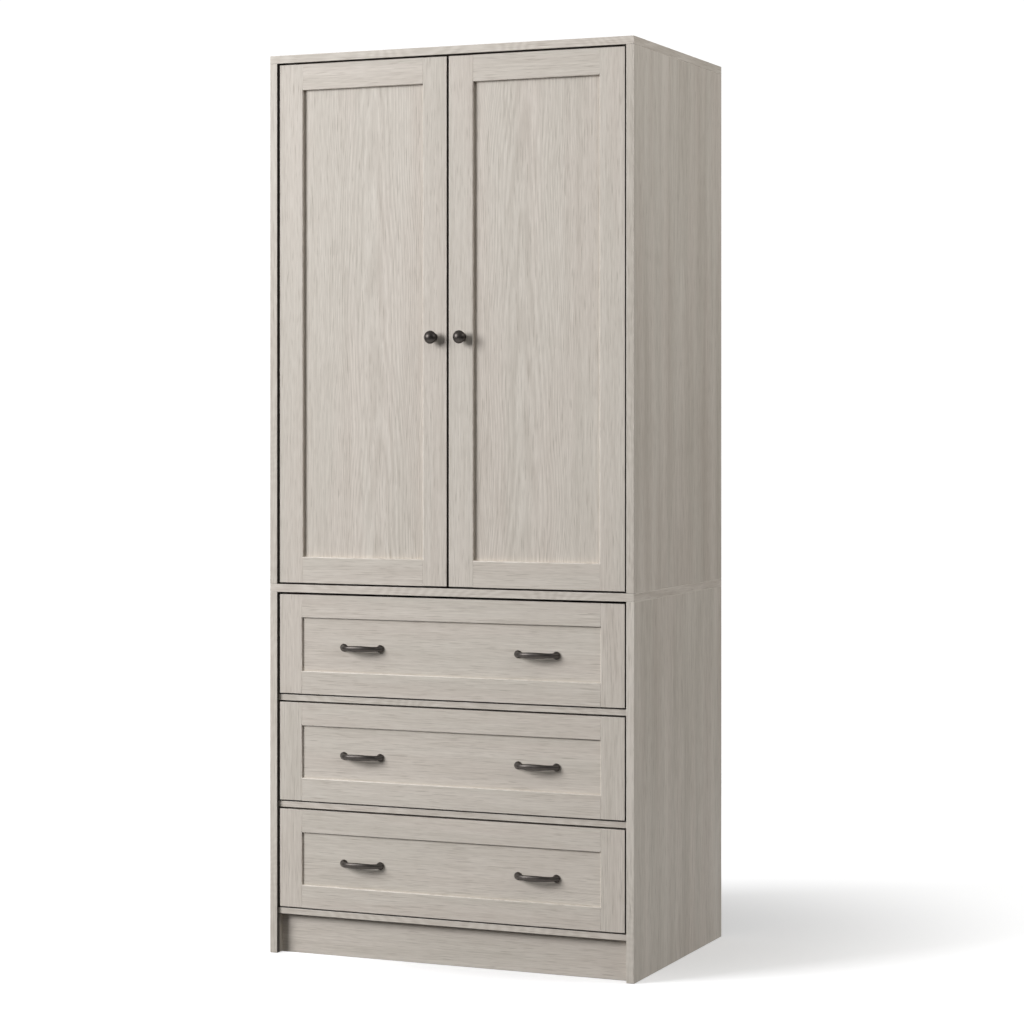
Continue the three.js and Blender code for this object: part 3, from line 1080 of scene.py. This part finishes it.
@dataclass
class Carcass:
    """The fixed case: boards, back, kick, drawer rails and the garment rod."""

    bench: Bench
    board_ease: float = 0.7 * MM
    rod_radius: float = 12.5 * MM
    rod_wall: float = 1.2 * MM
    rod_gap: float = 2 * MM
    socket_play: float = 0.3 * MM
    socket_lip: float = 2.4 * MM
    socket_depth: float = 14 * MM
    socket_floor: float = 1.8 * MM
    flange_roll: float = 1.5 * MM
    flange_cove: float = 2 * MM
    back_ease: float = 0.4 * MM
    groove_depth: float = 1.2 * MM
    groove_half: float = 1 * MM
    nail_pitch: float = 95 * MM
    nail_radius: float = 2.2 * MM
    nail_inset: float = 6 * MM
    body: str = "carcass"

    def build(self) -> None:
        """Makes every fixed piece apart from hinges and runners."""
        self._boards()
        self._back()
        self._rod()

    def _boards(self) -> None:
        """Boards with eased edges, fibre upright in the sides and level in the rest."""
        upright = {f"{part}_side_{side.word}": side for part in ("upper", "lower") for side in Side}
        level = [
            "top_panel",
            "middle_panel",
            "bottom_panel",
            "kick_board",
            "rear_kick_board",
            "drawer_rail_lower",
            "drawer_rail_upper",
        ]
        # The directions of each board's faces that line a gap, which get painted shade near the front.
        painted_shade_linings = {node: [UP, -UP] for node in level}
        painted_shade_linings["top_panel"] = [-UP]
        painted_shade_linings["kick_board"] = painted_shade_linings["rear_kick_board"] = []
        for node, side in upright.items():
            painted_shade_linings[node] = [side.inward]
        for node in [*upright, *level]:
            shape = ease(cad_copy(node), self.board_ease)
            fibre = Axis.Z if node in upright else Axis.X
            finish = Finish.OAK_SIDE if node in upright else Finish.OAK
            self.bench.hand_over(
                shape, f"{node}_board", self.body, finish, [node], fibre, lining=painted_shade_linings[node]
            )

    def _back(self) -> None:
        """The thin back with its two folding grooves, and the nails that hold it."""
        box = Extent.of("back_panel")
        shape = ease(block(box), self.back_ease)
        for share in (1 / 3, 2 / 3):
            height = box.low.z + box.size.z * share
            groove = Extent(
                Vector((box.low.x - MM, box.high.y - self.groove_depth, height - self.groove_half)),
                Vector((box.high.x + MM, box.high.y + MM, height + self.groove_half)),
            )
            shape = carved(shape, block(groove))
        self.bench.hand_over(shape, "back_board", self.body, Finish.HARDBOARD, ["back_panel"])
        self._nails(box)

    def _nails(self, box: Extent) -> None:
        """Flat nail heads along the rim of the back.

        Args:
            box: the back panel's extent.
        """
        left, right = box.low.x + self.nail_inset, box.high.x - self.nail_inset
        foot, top = box.low.z + self.nail_inset, box.high.z - self.nail_inset
        tall = round((top - foot) / self.nail_pitch)
        wide = round((right - left) / self.nail_pitch)
        spots = [(x, foot + (top - foot) * k / tall) for x in (left, right) for k in range(tall + 1)]
        spots += [(left + (right - left) * k / wide, z) for z in (foot, top) for k in range(1, wide)]
        rim = self.nail_radius
        profile = [(0.0, 0.0), (rim, 0.0), (rim * 0.8, 0.5 * MM), (0.0, 0.6 * MM)]
        heads = [turned(profile, Vector((x, box.high.y, z)), -OUT, 10) for x, z in spots]
        self.bench.hand_over(joined(heads), "back_nails", self.body, Finish.SCREW, crease=40.0)

    def _rod(self) -> None:
        """The garment rod, as a tube in two cup sockets with a screw each side."""
        box = Extent.of("hanging_rod")
        centre = box.centre
        inner, outer = self.rod_radius - self.rod_wall, self.rod_radius
        reach = box.size.x / 2 - self.rod_gap
        profile = [(inner, -reach), (outer, -reach), (outer, reach), (inner, reach), (inner, -reach)]
        tube = turned(profile, centre, ACROSS, 48)
        self.bench.hand_over(tube, "garment_rod", self.body, Finish.ROD, ["hanging_rod"], crease=40.0)
        flange = box.size.y / 2
        lip = self.rod_radius + self.socket_lip
        bore = self.rod_radius + self.socket_play
        roll, cove = self.flange_roll, self.flange_cove
        profile = [
            (0.0, 0.0),
            (flange, 0.0),
            *arc((flange - roll, roll), roll, 0.0, 90.0, 4),
            *arc((lip + cove, 5 * MM), cove, 270.0, 180.0, 4),
            (lip, self.socket_depth - MM),
            (lip - 0.8 * MM, self.socket_depth),
            (bore, self.socket_depth),
            (bore, self.socket_floor),
            (0.0, self.socket_floor),
        ]
        seats = []
        for side in Side:
            inward = side.inward
            wall = centre - inward * (box.size.x / 2)
            socket = turned(profile, wall, inward, 48)
            self.bench.hand_over(socket, f"rod_socket_{side.word}", self.body, Finish.ROD, crease=40.0)
            for turn in (90.0, 210.0, 330.0):
                angle = math.radians(turn)
                spoke = Vector((0.0, math.cos(angle), math.sin(angle))) * (flange - 3.6 * MM)
                seats.append((wall + spoke + inward * 2.9 * MM, inward))
        self.bench.screws("rod_socket_screws", self.body, seats, 2.4 * MM)


# ---------------------------------------------------------------------------- framed fronts


@dataclass
class FramedFront:
    """Stiles, rails and a sunk panel, as both the doors and the drawer fronts have."""

    bench: Bench
    body: str
    outer_ease: float = 0.8 * MM
    opening_ease: float = 1.7 * MM

    def stile(self, shape: BMesh, box: Extent, inner: float, opening: Span) -> BMesh:
        """Eases an upright member.

        Args:
            shape: the member's plain shape.
            box: its extent.
            inner: the X of its edge beside the panel.
            opening: the lowest and highest Z of the panel's opening.

        Returns:
            The shape, with a wider rounding along the opening than elsewhere.
        """
        low, high = opening[0] - self.opening_ease, opening[1] + self.opening_ease
        for height in (low - MM, low, high, high + MM):
            bmesh.ops.bisect_plane(
                shape,
                geom=[*shape.verts, *shape.edges, *shape.faces],
                plane_co=(0.0, 0.0, height),
                plane_no=UP,
            )
        chosen = edges_where(
            shape,
            lambda co: near(co.x, inner)
            and near(co.y, box.low.y)
            and low - TOUCH < co.z < high + TOUCH,
        )
        ease(shape, self.opening_ease, chosen, 3)
        return ease(shape, self.outer_ease)

    def rail(self, shape: BMesh, box: Extent, inner: float) -> BMesh:
        """Eases a level member.

        Args:
            shape: the member's plain shape.
            box: its extent.
            inner: the Z of its edge beside the panel.

        Returns:
            The shape, with a wider rounding beside the panel.
        """
        chosen = edges_where(shape, lambda co: near(co.z, inner) and near(co.y, box.low.y))
        ease(shape, self.opening_ease, chosen, 3)
        return ease(shape, self.outer_ease * 0.5)


@dataclass
class Door(FramedFront):
    """One door with its knob and the hinge cups let into its back."""

    side: Side = Side.LEFT
    panel_ease: float = 0.3 * MM
    knob_rim: float = 13 * MM
    knob_neck: float = 5.4 * MM
    knob_flange: float = 8.8 * MM
    knob_rise: float = 7.6 * MM
    cup_radius: float = 17.5 * MM
    cup_wall: float = 1.4 * MM
    cup_plate: float = 1.2 * MM
    cup_roll: float = 2 * MM
    bumper_radius: float = 4 * MM
    bumper_rise: float = 1.6 * MM
    bumper_inset: float = 30 * MM

    def node(self, part: str) -> str:
        """The name of one of this door's CAD nodes."""
        return f"door_{self.side.word}_{part}"

    def build(self) -> None:
        """Makes the whole door."""
        panel = Extent.of(self.node("panel"))
        top = Extent.of(self.node("top_rail"))
        bottom = Extent.of(self.node("bottom_rail"))
        opening = (bottom.high.z, top.low.z)
        self._member("top_rail", self.rail(cad_copy(self.node("top_rail")), top, top.low.z), Axis.X)
        lower = self.rail(cad_copy(self.node("bottom_rail")), bottom, bottom.high.z)
        self._member("bottom_rail", lower, Axis.X)
        for part in ("hinge_stile", "meeting_stile"):
            box = Extent.of(self.node(part))
            inner = box.low.x if box.centre.x > panel.centre.x else box.high.x
            shape = self.stile(cad_copy(self.node(part)), box, inner, opening)
            self._member(part, shape, Axis.Z)
        self._member("panel", ease(cad_copy(self.node("panel")), self.panel_ease), Axis.Z)
        self._knob()
        for level in ("lower", "upper"):
            self._cup(level)
        self._bumpers(opening)

    def _member(self, part: str, shape: BMesh, fibre: Axis) -> None:
        """Hands over one wooden piece of the door.

        Args:
            part: the piece's name in the door.
            shape: its finished shape.
            fibre: the way that its fibre runs.
        """
        # The directions of each member's faces that line a gap, which get painted shade near the
        # front.
        painted_shade_linings = {
            "hinge_stile": [-self.side.inward, UP, -UP],
            "meeting_stile": [self.side.inward, UP, -UP],
            "top_rail": [UP],
            "bottom_rail": [-UP],
            "panel": [],
        }
        node = self.node(part)
        self.bench.hand_over(
            shape, f"{node}_board", self.body, Finish.OAK, [node], fibre, lining=painted_shade_linings[part]
        )

    def _knob(self) -> None:
        """The round knob: base flange, waisted neck and domed head."""
        box = Extent.of(self.node("knob"))
        base = Vector((box.centre.x, box.high.y, box.centre.z))
        reach = box.size.y
        rim, neck, flange, rise = self.knob_rim, self.knob_neck, self.knob_flange, self.knob_rise
        flange_roll, foot_cove, head_cove, rim_roll = 0.9 * MM, 3.2 * MM, 4.4 * MM, 1.9 * MM
        dome = (rim * rim + rise * rise) / (2 * rise)
        half = math.degrees(math.asin((rim - 0.8 * MM) / dome))
        profile = [
            (0.0, 0.0),
            (flange, 0.0),
            *arc((flange - flange_roll, 1.1 * MM), flange_roll, 0.0, 90.0, 4),
            *arc((neck + foot_cove, 6.0 * MM), foot_cove, 250.0, 180.0, 5),
            *arc((neck + head_cove, 7.4 * MM), head_cove, 180.0, 110.0, 5),
            *arc((rim - rim_roll, reach - rise - 1.0 * MM), rim_roll, -60.0, 40.0, 6),
            *arc((0.0, reach - dome), dome, 90.0 - half, 90.0, 9),
        ]
        self.bench.hand_over(
            turned(profile, base, OUT, 56),
            f"{self.node('knob')}_casting",
            self.body,
            Finish.BRONZE,
            [self.node("knob")],
            crease=50.0,
        )

    def _cup(self, level: str) -> None:
        """A hinge cup with its screw plate, moving link and screws.

        Args:
            level: which of the door's two hinges it is.
        """
        node = self.node(f"hinge_cup_{level}")
        box = Extent.of(node)
        centre = Vector((box.centre.x, box.high.y, box.centre.z))
        thick, roll, outer = self.cup_plate, self.cup_roll, self.cup_radius
        depth = box.size.y - 0.3 * MM
        inner = outer - self.cup_wall
        profile = [
            (0.0, -depth),
            *arc((outer - roll, -depth + roll), roll, 270.0, 360.0, 4),
            (outer, 0.0),
            (inner, 0.0),
            *arc((inner - roll, -depth + 3.2 * MM), roll, 0.0, -90.0, 4),
            (0.0, -depth + thick),
        ]
        bowl = turned(profile, centre, -OUT, 48)
        half = Vector((box.size.x * 0.29, thick / 2, box.size.z / 2))
        middle = centre + OUT * (thick / 2)
        plate = block(Extent(middle - half, middle + half))
        ends = [e for e in plate.edges if abs((e.verts[0].co - e.verts[1].co).y) > thick / 2]
        ease(plate, 4 * MM, ends, 5)
        mouth = turned(self._bar(inner, 4 * MM), centre, -OUT, 48)
        plate = carved(plate, mouth)
        link_low = centre + Vector((-5 * MM, -depth + 1.4 * MM, -4 * MM))
        link_high = centre + Vector((5 * MM, -1.0 * MM, 4 * MM))
        shift = ACROSS * (self.side.value * 5 * MM)
        link = ease(block(Extent(link_low + shift, link_high + shift)), 0.8 * MM)
        pin = turned(self._bar(1.8 * MM, 7 * MM), centre + shift + OUT * 4 * MM, UP, 16)
        whole = joined([bowl, plate, link, pin])
        name = f"{node}_pressing"
        self.bench.hand_over(whole, name, self.body, Finish.HINGE, [node], crease=35.0)
        gap = box.size.z / 2 - 5.5 * MM
        seats = [(centre + UP * (end * gap), -OUT) for end in (-1.0, 1.0)]
        self.bench.screws(f"{node}_screws", self.body, seats, 3.2 * MM)

    @staticmethod
    def _bar(radius: float, half: float) -> Profile:
        """The profile of a plain round bar, from its radius and half its length."""
        return [(0.0, -half), (radius, -half), (radius, half), (0.0, half)]

    def _bumpers(self, opening: Span) -> None:
        """Two soft bumper dots on the back of the meeting stile.

        Args:
            opening: the lowest and highest Z of the panel's opening.
        """
        box = Extent.of(self.node("meeting_stile"))
        roll = self.bumper_rise / 2
        rim = arc((self.bumper_radius - roll, roll), roll, 0.0, 90.0, 3)
        profile = [(0.0, 0.0), (self.bumper_radius, 0.0), *rim, (0.0, self.bumper_rise)]
        dots = [
            turned(profile, Vector((box.centre.x, box.high.y, height)), -OUT, 20)
            for height in (opening[0] - self.bumper_inset, opening[1] + self.bumper_inset)
        ]
        name = f"door_{self.side.word}_bumpers"
        self.bench.hand_over(joined(dots), name, self.body, Finish.NYLON, crease=50.0)


@dataclass
class HingeArm:
    """The fixed half of a concealed hinge, screwed to the side board."""

    bench: Bench
    side: Side
    level: str
    wing_reach: float = 27 * MM
    wing_thick: float = 3 * MM
    spine_thick: float = 12 * MM
    setting_reaches: Span = (14 * MM, 32 * MM)
    body: str = "carcass"

    def build(self) -> None:
        """Makes the arm, its plate and its screws."""
        node = f"hinge_arm_{self.side.word}_{self.level}"
        box = Extent.of(node)
        shape = ease(cad_copy(node), 0.5 * MM)
        name = f"{node}_pressing"
        self.bench.hand_over(shape, name, self.body, Finish.HINGE, [node])
        inward = self.side.inward
        wall = self.side.wall(box)
        wings = Vector((wall, box.high.y - self.wing_reach, box.centre.z)) + inward * self.wing_thick
        gap = box.size.z / 2 - 6 * MM
        seats = [(wings + UP * (end * gap), inward) for end in (-1.0, 1.0)]
        self.bench.screws(f"{node}_plate_screws", self.body, seats, 3.6 * MM)
        spine = Vector((wall, 0.0, box.centre.z)) + inward * self.spine_thick
        places = [Vector((spine.x, box.high.y - reach, spine.z)) for reach in self.setting_reaches]
        seats = [(place, inward) for place in places]
        self.bench.screws(f"{node}_setting_screws", self.body, seats, 3.0 * MM)


# ---------------------------------------------------------------------------- drawers


@dataclass
class Drawer(FramedFront):
    """One drawer: framed front, box, two pulls and its half of the runners."""

    level: Level = Level.LOWER
    stile_width: float = 50 * MM
    rail_width: float = 46 * MM
    sunk: float = 4 * MM
    pull_centres: float = 80 * MM
    pull_reach: float = 20.3 * MM
    pull_fullness: float = 2 / 2.35
    pull_foot: float = 7.75 * MM
    foot_lip: float = 2.2 * MM
    foot_edge: float = 0.6 * MM
    flare_reach: float = 9.5 * MM
    flare_power: float = 2.2
    swell_start: float = 10 * MM
    bar_ends: Span = (4.7 * MM, 3.5 * MM)
    bar_swell: Span = (1.3 * MM, -0.3 * MM)
    member_thick: float = 0.8 * MM
    member_rise: float = 24 * MM
    member_lip: float = 11 * MM
    member_ease: float = 0.25 * MM
    wheel_radius: float = 9.4 * MM
    wheel_width: float = 7 * MM
    wheel_inset: float = 14 * MM

    def node(self, part: str) -> str:
        """The name of one of this drawer's CAD nodes."""
        return f"drawer_{self.level.word}_{part}"

    def build(self) -> None:
        """Makes the whole drawer."""
        self._front()
        self._box()
        for side in Side:
            self._pull(side)
            self._runner_member(side)

    def _front(self) -> None:
        """The front's two stiles, two rails and sunk panel."""
        node = self.node("front")
        box = Extent.of(node)
        low, high = box.low, box.high
        left, right = low.x + self.stile_width, high.x - self.stile_width
        foot, top = low.z + self.rail_width, high.z - self.rail_width
        uprights = {
            "left": (Extent(low, Vector((left, high.y, high.z))), left),
            "right": (Extent(Vector((right, low.y, low.z)), high), right),
        }
        for word, (part, inner) in uprights.items():
            shape = self.stile(block(part), part, inner, (foot, top))
            stands_for = [node] if word == "left" else []
            name = self.node(f"front_stile_{word}")
            # The faces that line the gaps, which get painted shade near the front.
            lining = [UP, -UP, -ACROSS if word == "left" else ACROSS]
            self.bench.hand_over(
                shape, name, self.body, Finish.OAK, stands_for, Axis.Z, lining=lining
            )
        levels = {
            "lower": (Extent(Vector((left, low.y, low.z)), Vector((right, high.y, foot))), foot),
            "upper": (Extent(Vector((left, low.y, top)), Vector((right, high.y, high.z))), top),
        }
        for word, (part, inner) in levels.items():
            shape = self.rail(block(part), part, inner)
            name = self.node(f"front_rail_{word}")
            # The faces that line the gaps, which get painted shade near the front.
            lining = [-UP if word == "lower" else UP]
            self.bench.hand_over(shape, name, self.body, Finish.OAK, grain=Axis.X, lining=lining)
        panel = Extent(Vector((left, low.y + self.sunk, foot)), Vector((right, high.y, top)))
        name = self.node("front_panel")
        self.bench.hand_over(ease(block(panel), 0.2 * MM), name, self.body, Finish.OAK, grain=Axis.X)

    def _box(self) -> None:
        """The sides, back and bottom of the drawer box."""
        for part, fibre in (("side_left", Axis.Y), ("side_right", Axis.Y), ("back", Axis.X)):
            node = self.node(part)
            shape = ease(cad_copy(node), 0.5 * MM)
            self.bench.hand_over(shape, f"{node}_board", self.body, Finish.DRAWER, [node], fibre)
        node = self.node("bottom")
        shape = ease(cad_copy(node), 0.3 * MM)
        self.bench.hand_over(shape, f"{node}_board", self.body, Finish.HARDBOARD, [node])

    def _pull(self, side: Side) -> None:
        """A bow pull: one bar that flares into a round foot at each end.

        Args:
            side: which of the drawer's two pulls it is.
        """
        node = self.node(f"pull_{side.word}")
        box = Extent.of(node)
        base = Vector((box.centre.x, box.high.y, box.centre.z))
        half = self.pull_centres / 2

        def bow(angle: float) -> Vector:
            """A point on the bow's centre line.

            Args:
                angle: the angle round from the right foot, in radians.

            Returns:
                The point.
            """
            cosine, sine = math.cos(angle), math.sin(angle)
            across = math.copysign(abs(cosine) ** self.pull_fullness, cosine)
            forward = -self.pull_reach * abs(sine) ** self.pull_fullness
            return base + Vector((half * across, forward, 0.0))

        steps = 64
        angles = [math.pi * (1 - math.cos(math.pi * k / steps)) / 2 for k in range(steps + 1)]
        points = [bow(angle) for angle in angles]
        travel = [0.0]
        for before, after in zip(points, points[1:]):
            travel.append(travel[-1] + (after - before).length)
        sections = []
        for index, point in enumerate(points):
            ahead = points[min(index + 1, steps)] - points[max(index - 1, 0)]
            if index in (0, steps):
                ahead = OUT if index == 0 else -OUT
            tangent = ahead.normalized()
            normal = UP.cross(tangent)
            reach = min(travel[index], travel[-1] - travel[index])
            height, thick = self._girth(reach, travel[-1] / 2)
            columns = [UP * height, normal * thick, tangent]
            matrix = Matrix(columns).transposed().to_4x4()
            matrix.translation = point
            sections.append(matrix)
        self.bench.hand_over(
            swept(sections, 28), f"{node}_casting", self.body, Finish.BRONZE, [node], crease=60.0
        )

    def _girth(self, reach: float, middle: float) -> Span:
        """How thick the pull is at a place along it.

        Args:
            reach: the distance along the bow from the nearer foot's seat.
            middle: that distance at the middle of the bow.

        Returns:
            The half height and the half thickness there.
        """
        flare = 1 - (1 - clamped((reach - self.foot_lip) / self.flare_reach)) ** self.flare_power
        edge = min(reach / self.foot_edge, 1.0) ** 0.5
        foot = self.pull_foot * (0.93 + 0.07 * edge)
        swell = clamped((reach - self.swell_start) / (middle - self.swell_start))
        swell = swell * swell * (3 - 2 * swell)
        height, thick = (end + more * swell for end, more in zip(self.bar_ends, self.bar_swell))
        return foot + (height - foot) * flare, foot + (thick - foot) * flare

    def _runner_member(self, side: Side) -> None:
        """The drawer's half of a runner: an angle under the side, with its rear roller.

        Args:
            side: which side of the drawer it is on.
        """
        box = Extent.of(self.node(f"side_{side.word}"))
        sign = float(side.value)
        outer = side.wall(box)
        thick = self.member_thick
        run = (box.low.y + 3 * MM, box.high.y)
        foot = box.low.z - thick
        rise = (foot, box.low.z + self.member_rise)
        web = self._flat(sorted((outer, outer + sign * thick)), run, rise)
        lip = self._flat(sorted((outer - sign * self.member_lip, outer)), run, (foot, box.low.z))
        angle = joined([ease(web, self.member_ease), ease(lip, self.member_ease)])
        name = self.node(f"runner_member_{side.word}")
        self.bench.hand_over(angle, name, self.body, Finish.RUNNER)
        channel = Extent.of(f"runner_{self.level.word}_{side.word}")
        axle = Vector((outer + sign * thick, run[1] - self.wheel_inset, channel.centre.z))
        wheel = self._wheel(axle, Vector((sign, 0.0, 0.0)), self.wheel_radius, self.wheel_width)
        name = self.node(f"runner_wheel_{side.word}")
        self.bench.hand_over(wheel, name, self.body, Finish.NYLON, crease=40.0)

    @staticmethod
    def _flat(x: Sequence[float], y: Sequence[float], z: Sequence[float]) -> BMesh:
        """A plain strip from three spans."""
        return block(Extent(Vector((x[0], y[0], z[0])), Vector((x[1], y[1], z[1]))))

    @staticmethod
    def _wheel(base: Vector, axis: Vector, radius: float, width: float) -> BMesh:
        """A roller with a hub and a rounded tread.

        Args:
            base: the middle of its inner face.
            axis: the unit direction of its axle.
            radius: its radius.
            width: its width.

        Returns:
            The closed shape.
        """
        return turned(
            [
                (0.0, 0.0),
                (radius - MM, 0.0),
                *arc((radius - MM, MM), MM, 270.0, 360.0, 3),
                *arc((radius - MM, width - MM), MM, 0.0, 90.0, 3),
                (radius * 0.62, width),
                (radius * 0.58, width - 1.2 * MM),
                (radius * 0.36, width - 1.2 * MM),
                (radius * 0.32, width + 0.4 * MM),
                (0.0, width + 0.6 * MM),
            ],
            base,
            axis,
            32,
        )


@dataclass
class Runner:
    """The case's half of a drawer runner: a channel with its screws."""

    bench: Bench
    level: Level
    side: Side
    sheet: float = 1.3 * MM
    channel_ease: float = 0.25 * MM
    screw_reaches: Triple = (37 * MM, 261 * MM, 420 * MM)
    body: str = "carcass"

    def build(self) -> None:
        """Makes the channel and its screws."""
        node = f"runner_{self.level.word}_{self.side.word}"
        box = Extent.of(node)
        shape = ease(cad_copy(node), self.channel_ease)
        self.bench.hand_over(shape, f"{node}_channel", self.body, Finish.RUNNER, [node])
        inward = self.side.inward
        wall = self.side.wall(box)
        seats = [
            (Vector((wall, box.low.y + reach, box.centre.z)) + inward * self.sheet, inward)
            for reach in self.screw_reaches
        ]
        self.bench.screws(f"{node}_screws", self.body, seats, 3.4 * MM)


# ---------------------------------------------------------------------------- studio


@dataclass(frozen=True)
class SoftBox:
    """One soft lamp: where it hangs, its width and height, its power in watts and its colour."""

    name: str
    place: Triple
    size: Span
    power: float
    colour: Colour = (1.0, 1.0, 1.0)

    def hang(self, target: Triple) -> None:
        """Hangs the lamp.

        Args:
            target: the point that it faces.
        """
        data = bpy.data.lights.new(self.name, "AREA")
        data.shape = "RECTANGLE"
        data.size, data.size_y = self.size
        data.energy = self.power
        data.color = self.colour
        lamp = bpy.data.objects.new(self.name, data)
        lamp.location = self.place
        facing = Vector(target) - Vector(self.place)
        lamp.rotation_euler = facing.to_track_quat("-Z", "Y").to_euler()
        lamp.visible_camera = False
        bpy.context.scene.collection.objects.link(lamp)


SOFT_BOXES = (
    SoftBox("key_light", (-4.2, -4.2, 2.9), (2.9, 2.9), 392.0, (0.99, 1.0, 1.03)),
    SoftBox("side_light", (3.8, 0.9, 2.3), (1.6, 2.0), 46.0),
    SoftBox("corner_light", (3.0, -1.5, 2.8), (1.6, 1.6), 24.0),
)


@dataclass
class Studio:
    """Pale floor, soft light and the camera."""

    lit_point: Triple = (0.0, -0.2, 1.1)
    lens: float = 96.447
    shift_up: float = -0.0966
    turn: float = 23.099
    camera_place: Triple = (2.2190, -5.1274, 1.0832)
    sky_light: float = 0.51
    sky_look: float = 1.05
    floor_half: float = 6.0
    # The floor glows with painted light; near the armoire and towards its back-right the glow is
    # dimmer, a painted shade for the soft shadow, and it rises to white over glow_rise.
    floor_glow: float = 0.52
    glow_near: Colour = (0.385, 0.385, 0.385)
    glow_rise: Span = (0.25, 0.68)
    glow_lean: float = 0.35
    floor_pale: Colour = (0.88, 0.88, 0.88)
    floor_cloudy: Colour = (0.86, 0.86, 0.855)
    floor_cloud: Layer = Layer.even(1.2, 2.0)
    floor_fade: Span = (1.6, 3.4)
    floor_drop: float = 0.0002

    def build(self) -> None:
        """Makes the whole set."""
        self._floor()
        self._sky()
        for lamp in SOFT_BOXES:
            lamp.hang(self.lit_point)
        self._camera()

    def _floor(self) -> None:
        """A pale floor that takes a soft shadow and fades out into the surround. It glows with painted
        light that is dimmer near the armoire and towards its back-right as painted shade.
        """
        graph = ShaderGraph.of_material("pale_floor")
        place = graph.coordinates()
        colour = graph.blend(graph.noise(place, self.floor_cloud), self.floor_cloudy, self.floor_pale)
        radius = graph.node("ShaderNodeVectorMath", {"operation": "LENGTH"}, {0: place}, "Value")
        # Painted shade in painted light: the glow is dimmest near the armoire and towards its
        # back-right, and white further off.
        diagonal = graph.part(place, "X") + graph.part(place, "Y")
        away = (radius - diagonal * self.glow_lean).step(*self.glow_rise)
        glow = graph.blend(away, self.glow_near, (1.0, 1.0, 1.0))
        material = graph.surface(
            {
                "Base Color": colour,
                "Roughness": 0.9,
                "Specular IOR Level": 0.1,
                "Emission Color": glow,
                "Emission Strength": self.floor_glow,
                "Alpha": 1.0 - radius.step(*self.floor_fade),
            }
        )
        shape = bmesh.new()
        drop = Matrix.Translation((0.0, 0.0, -self.floor_drop))
        bmesh.ops.create_grid(shape, x_segments=1, y_segments=1, size=self.floor_half, matrix=drop)
        mesh = bpy.data.meshes.new("floor")
        shape.to_mesh(mesh)
        shape.free()
        mesh.materials.append(material)
        floor = bpy.data.objects.new("floor", mesh)
        bpy.context.scene.collection.objects.link(floor)
        floor.visible_diffuse = False

    def _sky(self) -> None:
        """A pale surround that lights from above and looks white."""
        world = bpy.data.worlds.new("studio")
        bpy.context.scene.world = world
        graph = ShaderGraph(world)
        direction = graph.node("ShaderNodeTexCoord", output="Generated")
        glow = (graph.part(direction, "Z") * self.sky_light).floored(0.0)
        seen = graph.node("ShaderNodeLightPath", output="Is Camera Ray")
        strength = glow * (1.0 - seen) + seen * self.sky_look
        inputs = {"Color": (1.0, 1.0, 1.0), "Strength": strength}
        background = graph.node("ShaderNodeBackground", None, inputs)
        graph.add("ShaderNodeOutputWorld", None, {"Surface": background})

    def _camera(self) -> None:
        """A level camera to the right of the armoire."""
        data = bpy.data.cameras.new("camera")
        data.lens = self.lens
        data.sensor_width = 36.0
        data.shift_y = self.shift_up
        data.clip_end = 200.0
        camera = bpy.data.objects.new("camera", data)
        camera.location = self.camera_place
        camera.rotation_euler = (math.radians(90.0), 0.0, math.radians(self.turn))
        bpy.context.scene.collection.objects.link(camera)
        bpy.context.scene.camera = camera
        bpy.context.scene.view_settings.view_transform = "Standard"


# ---------------------------------------------------------------------------- assembly


def main() -> None:
    """Builds the armoire and its set, in order."""
    logging.basicConfig(level=logging.INFO, format="%(message)s")
    Studio().build()
    bench = Bench()
    Carcass(bench).build()
    for side in Side:
        Door(bench, f"door_{side.word}", side=side).build()
        for level in ("lower", "upper"):
            HingeArm(bench, side, level).build()
    for level in Level:
        Drawer(bench, f"drawer_{level.word}", level=level).build()
        for side in Side:
            Runner(bench, level, side).build()


if __name__ == "__main__":
    main()
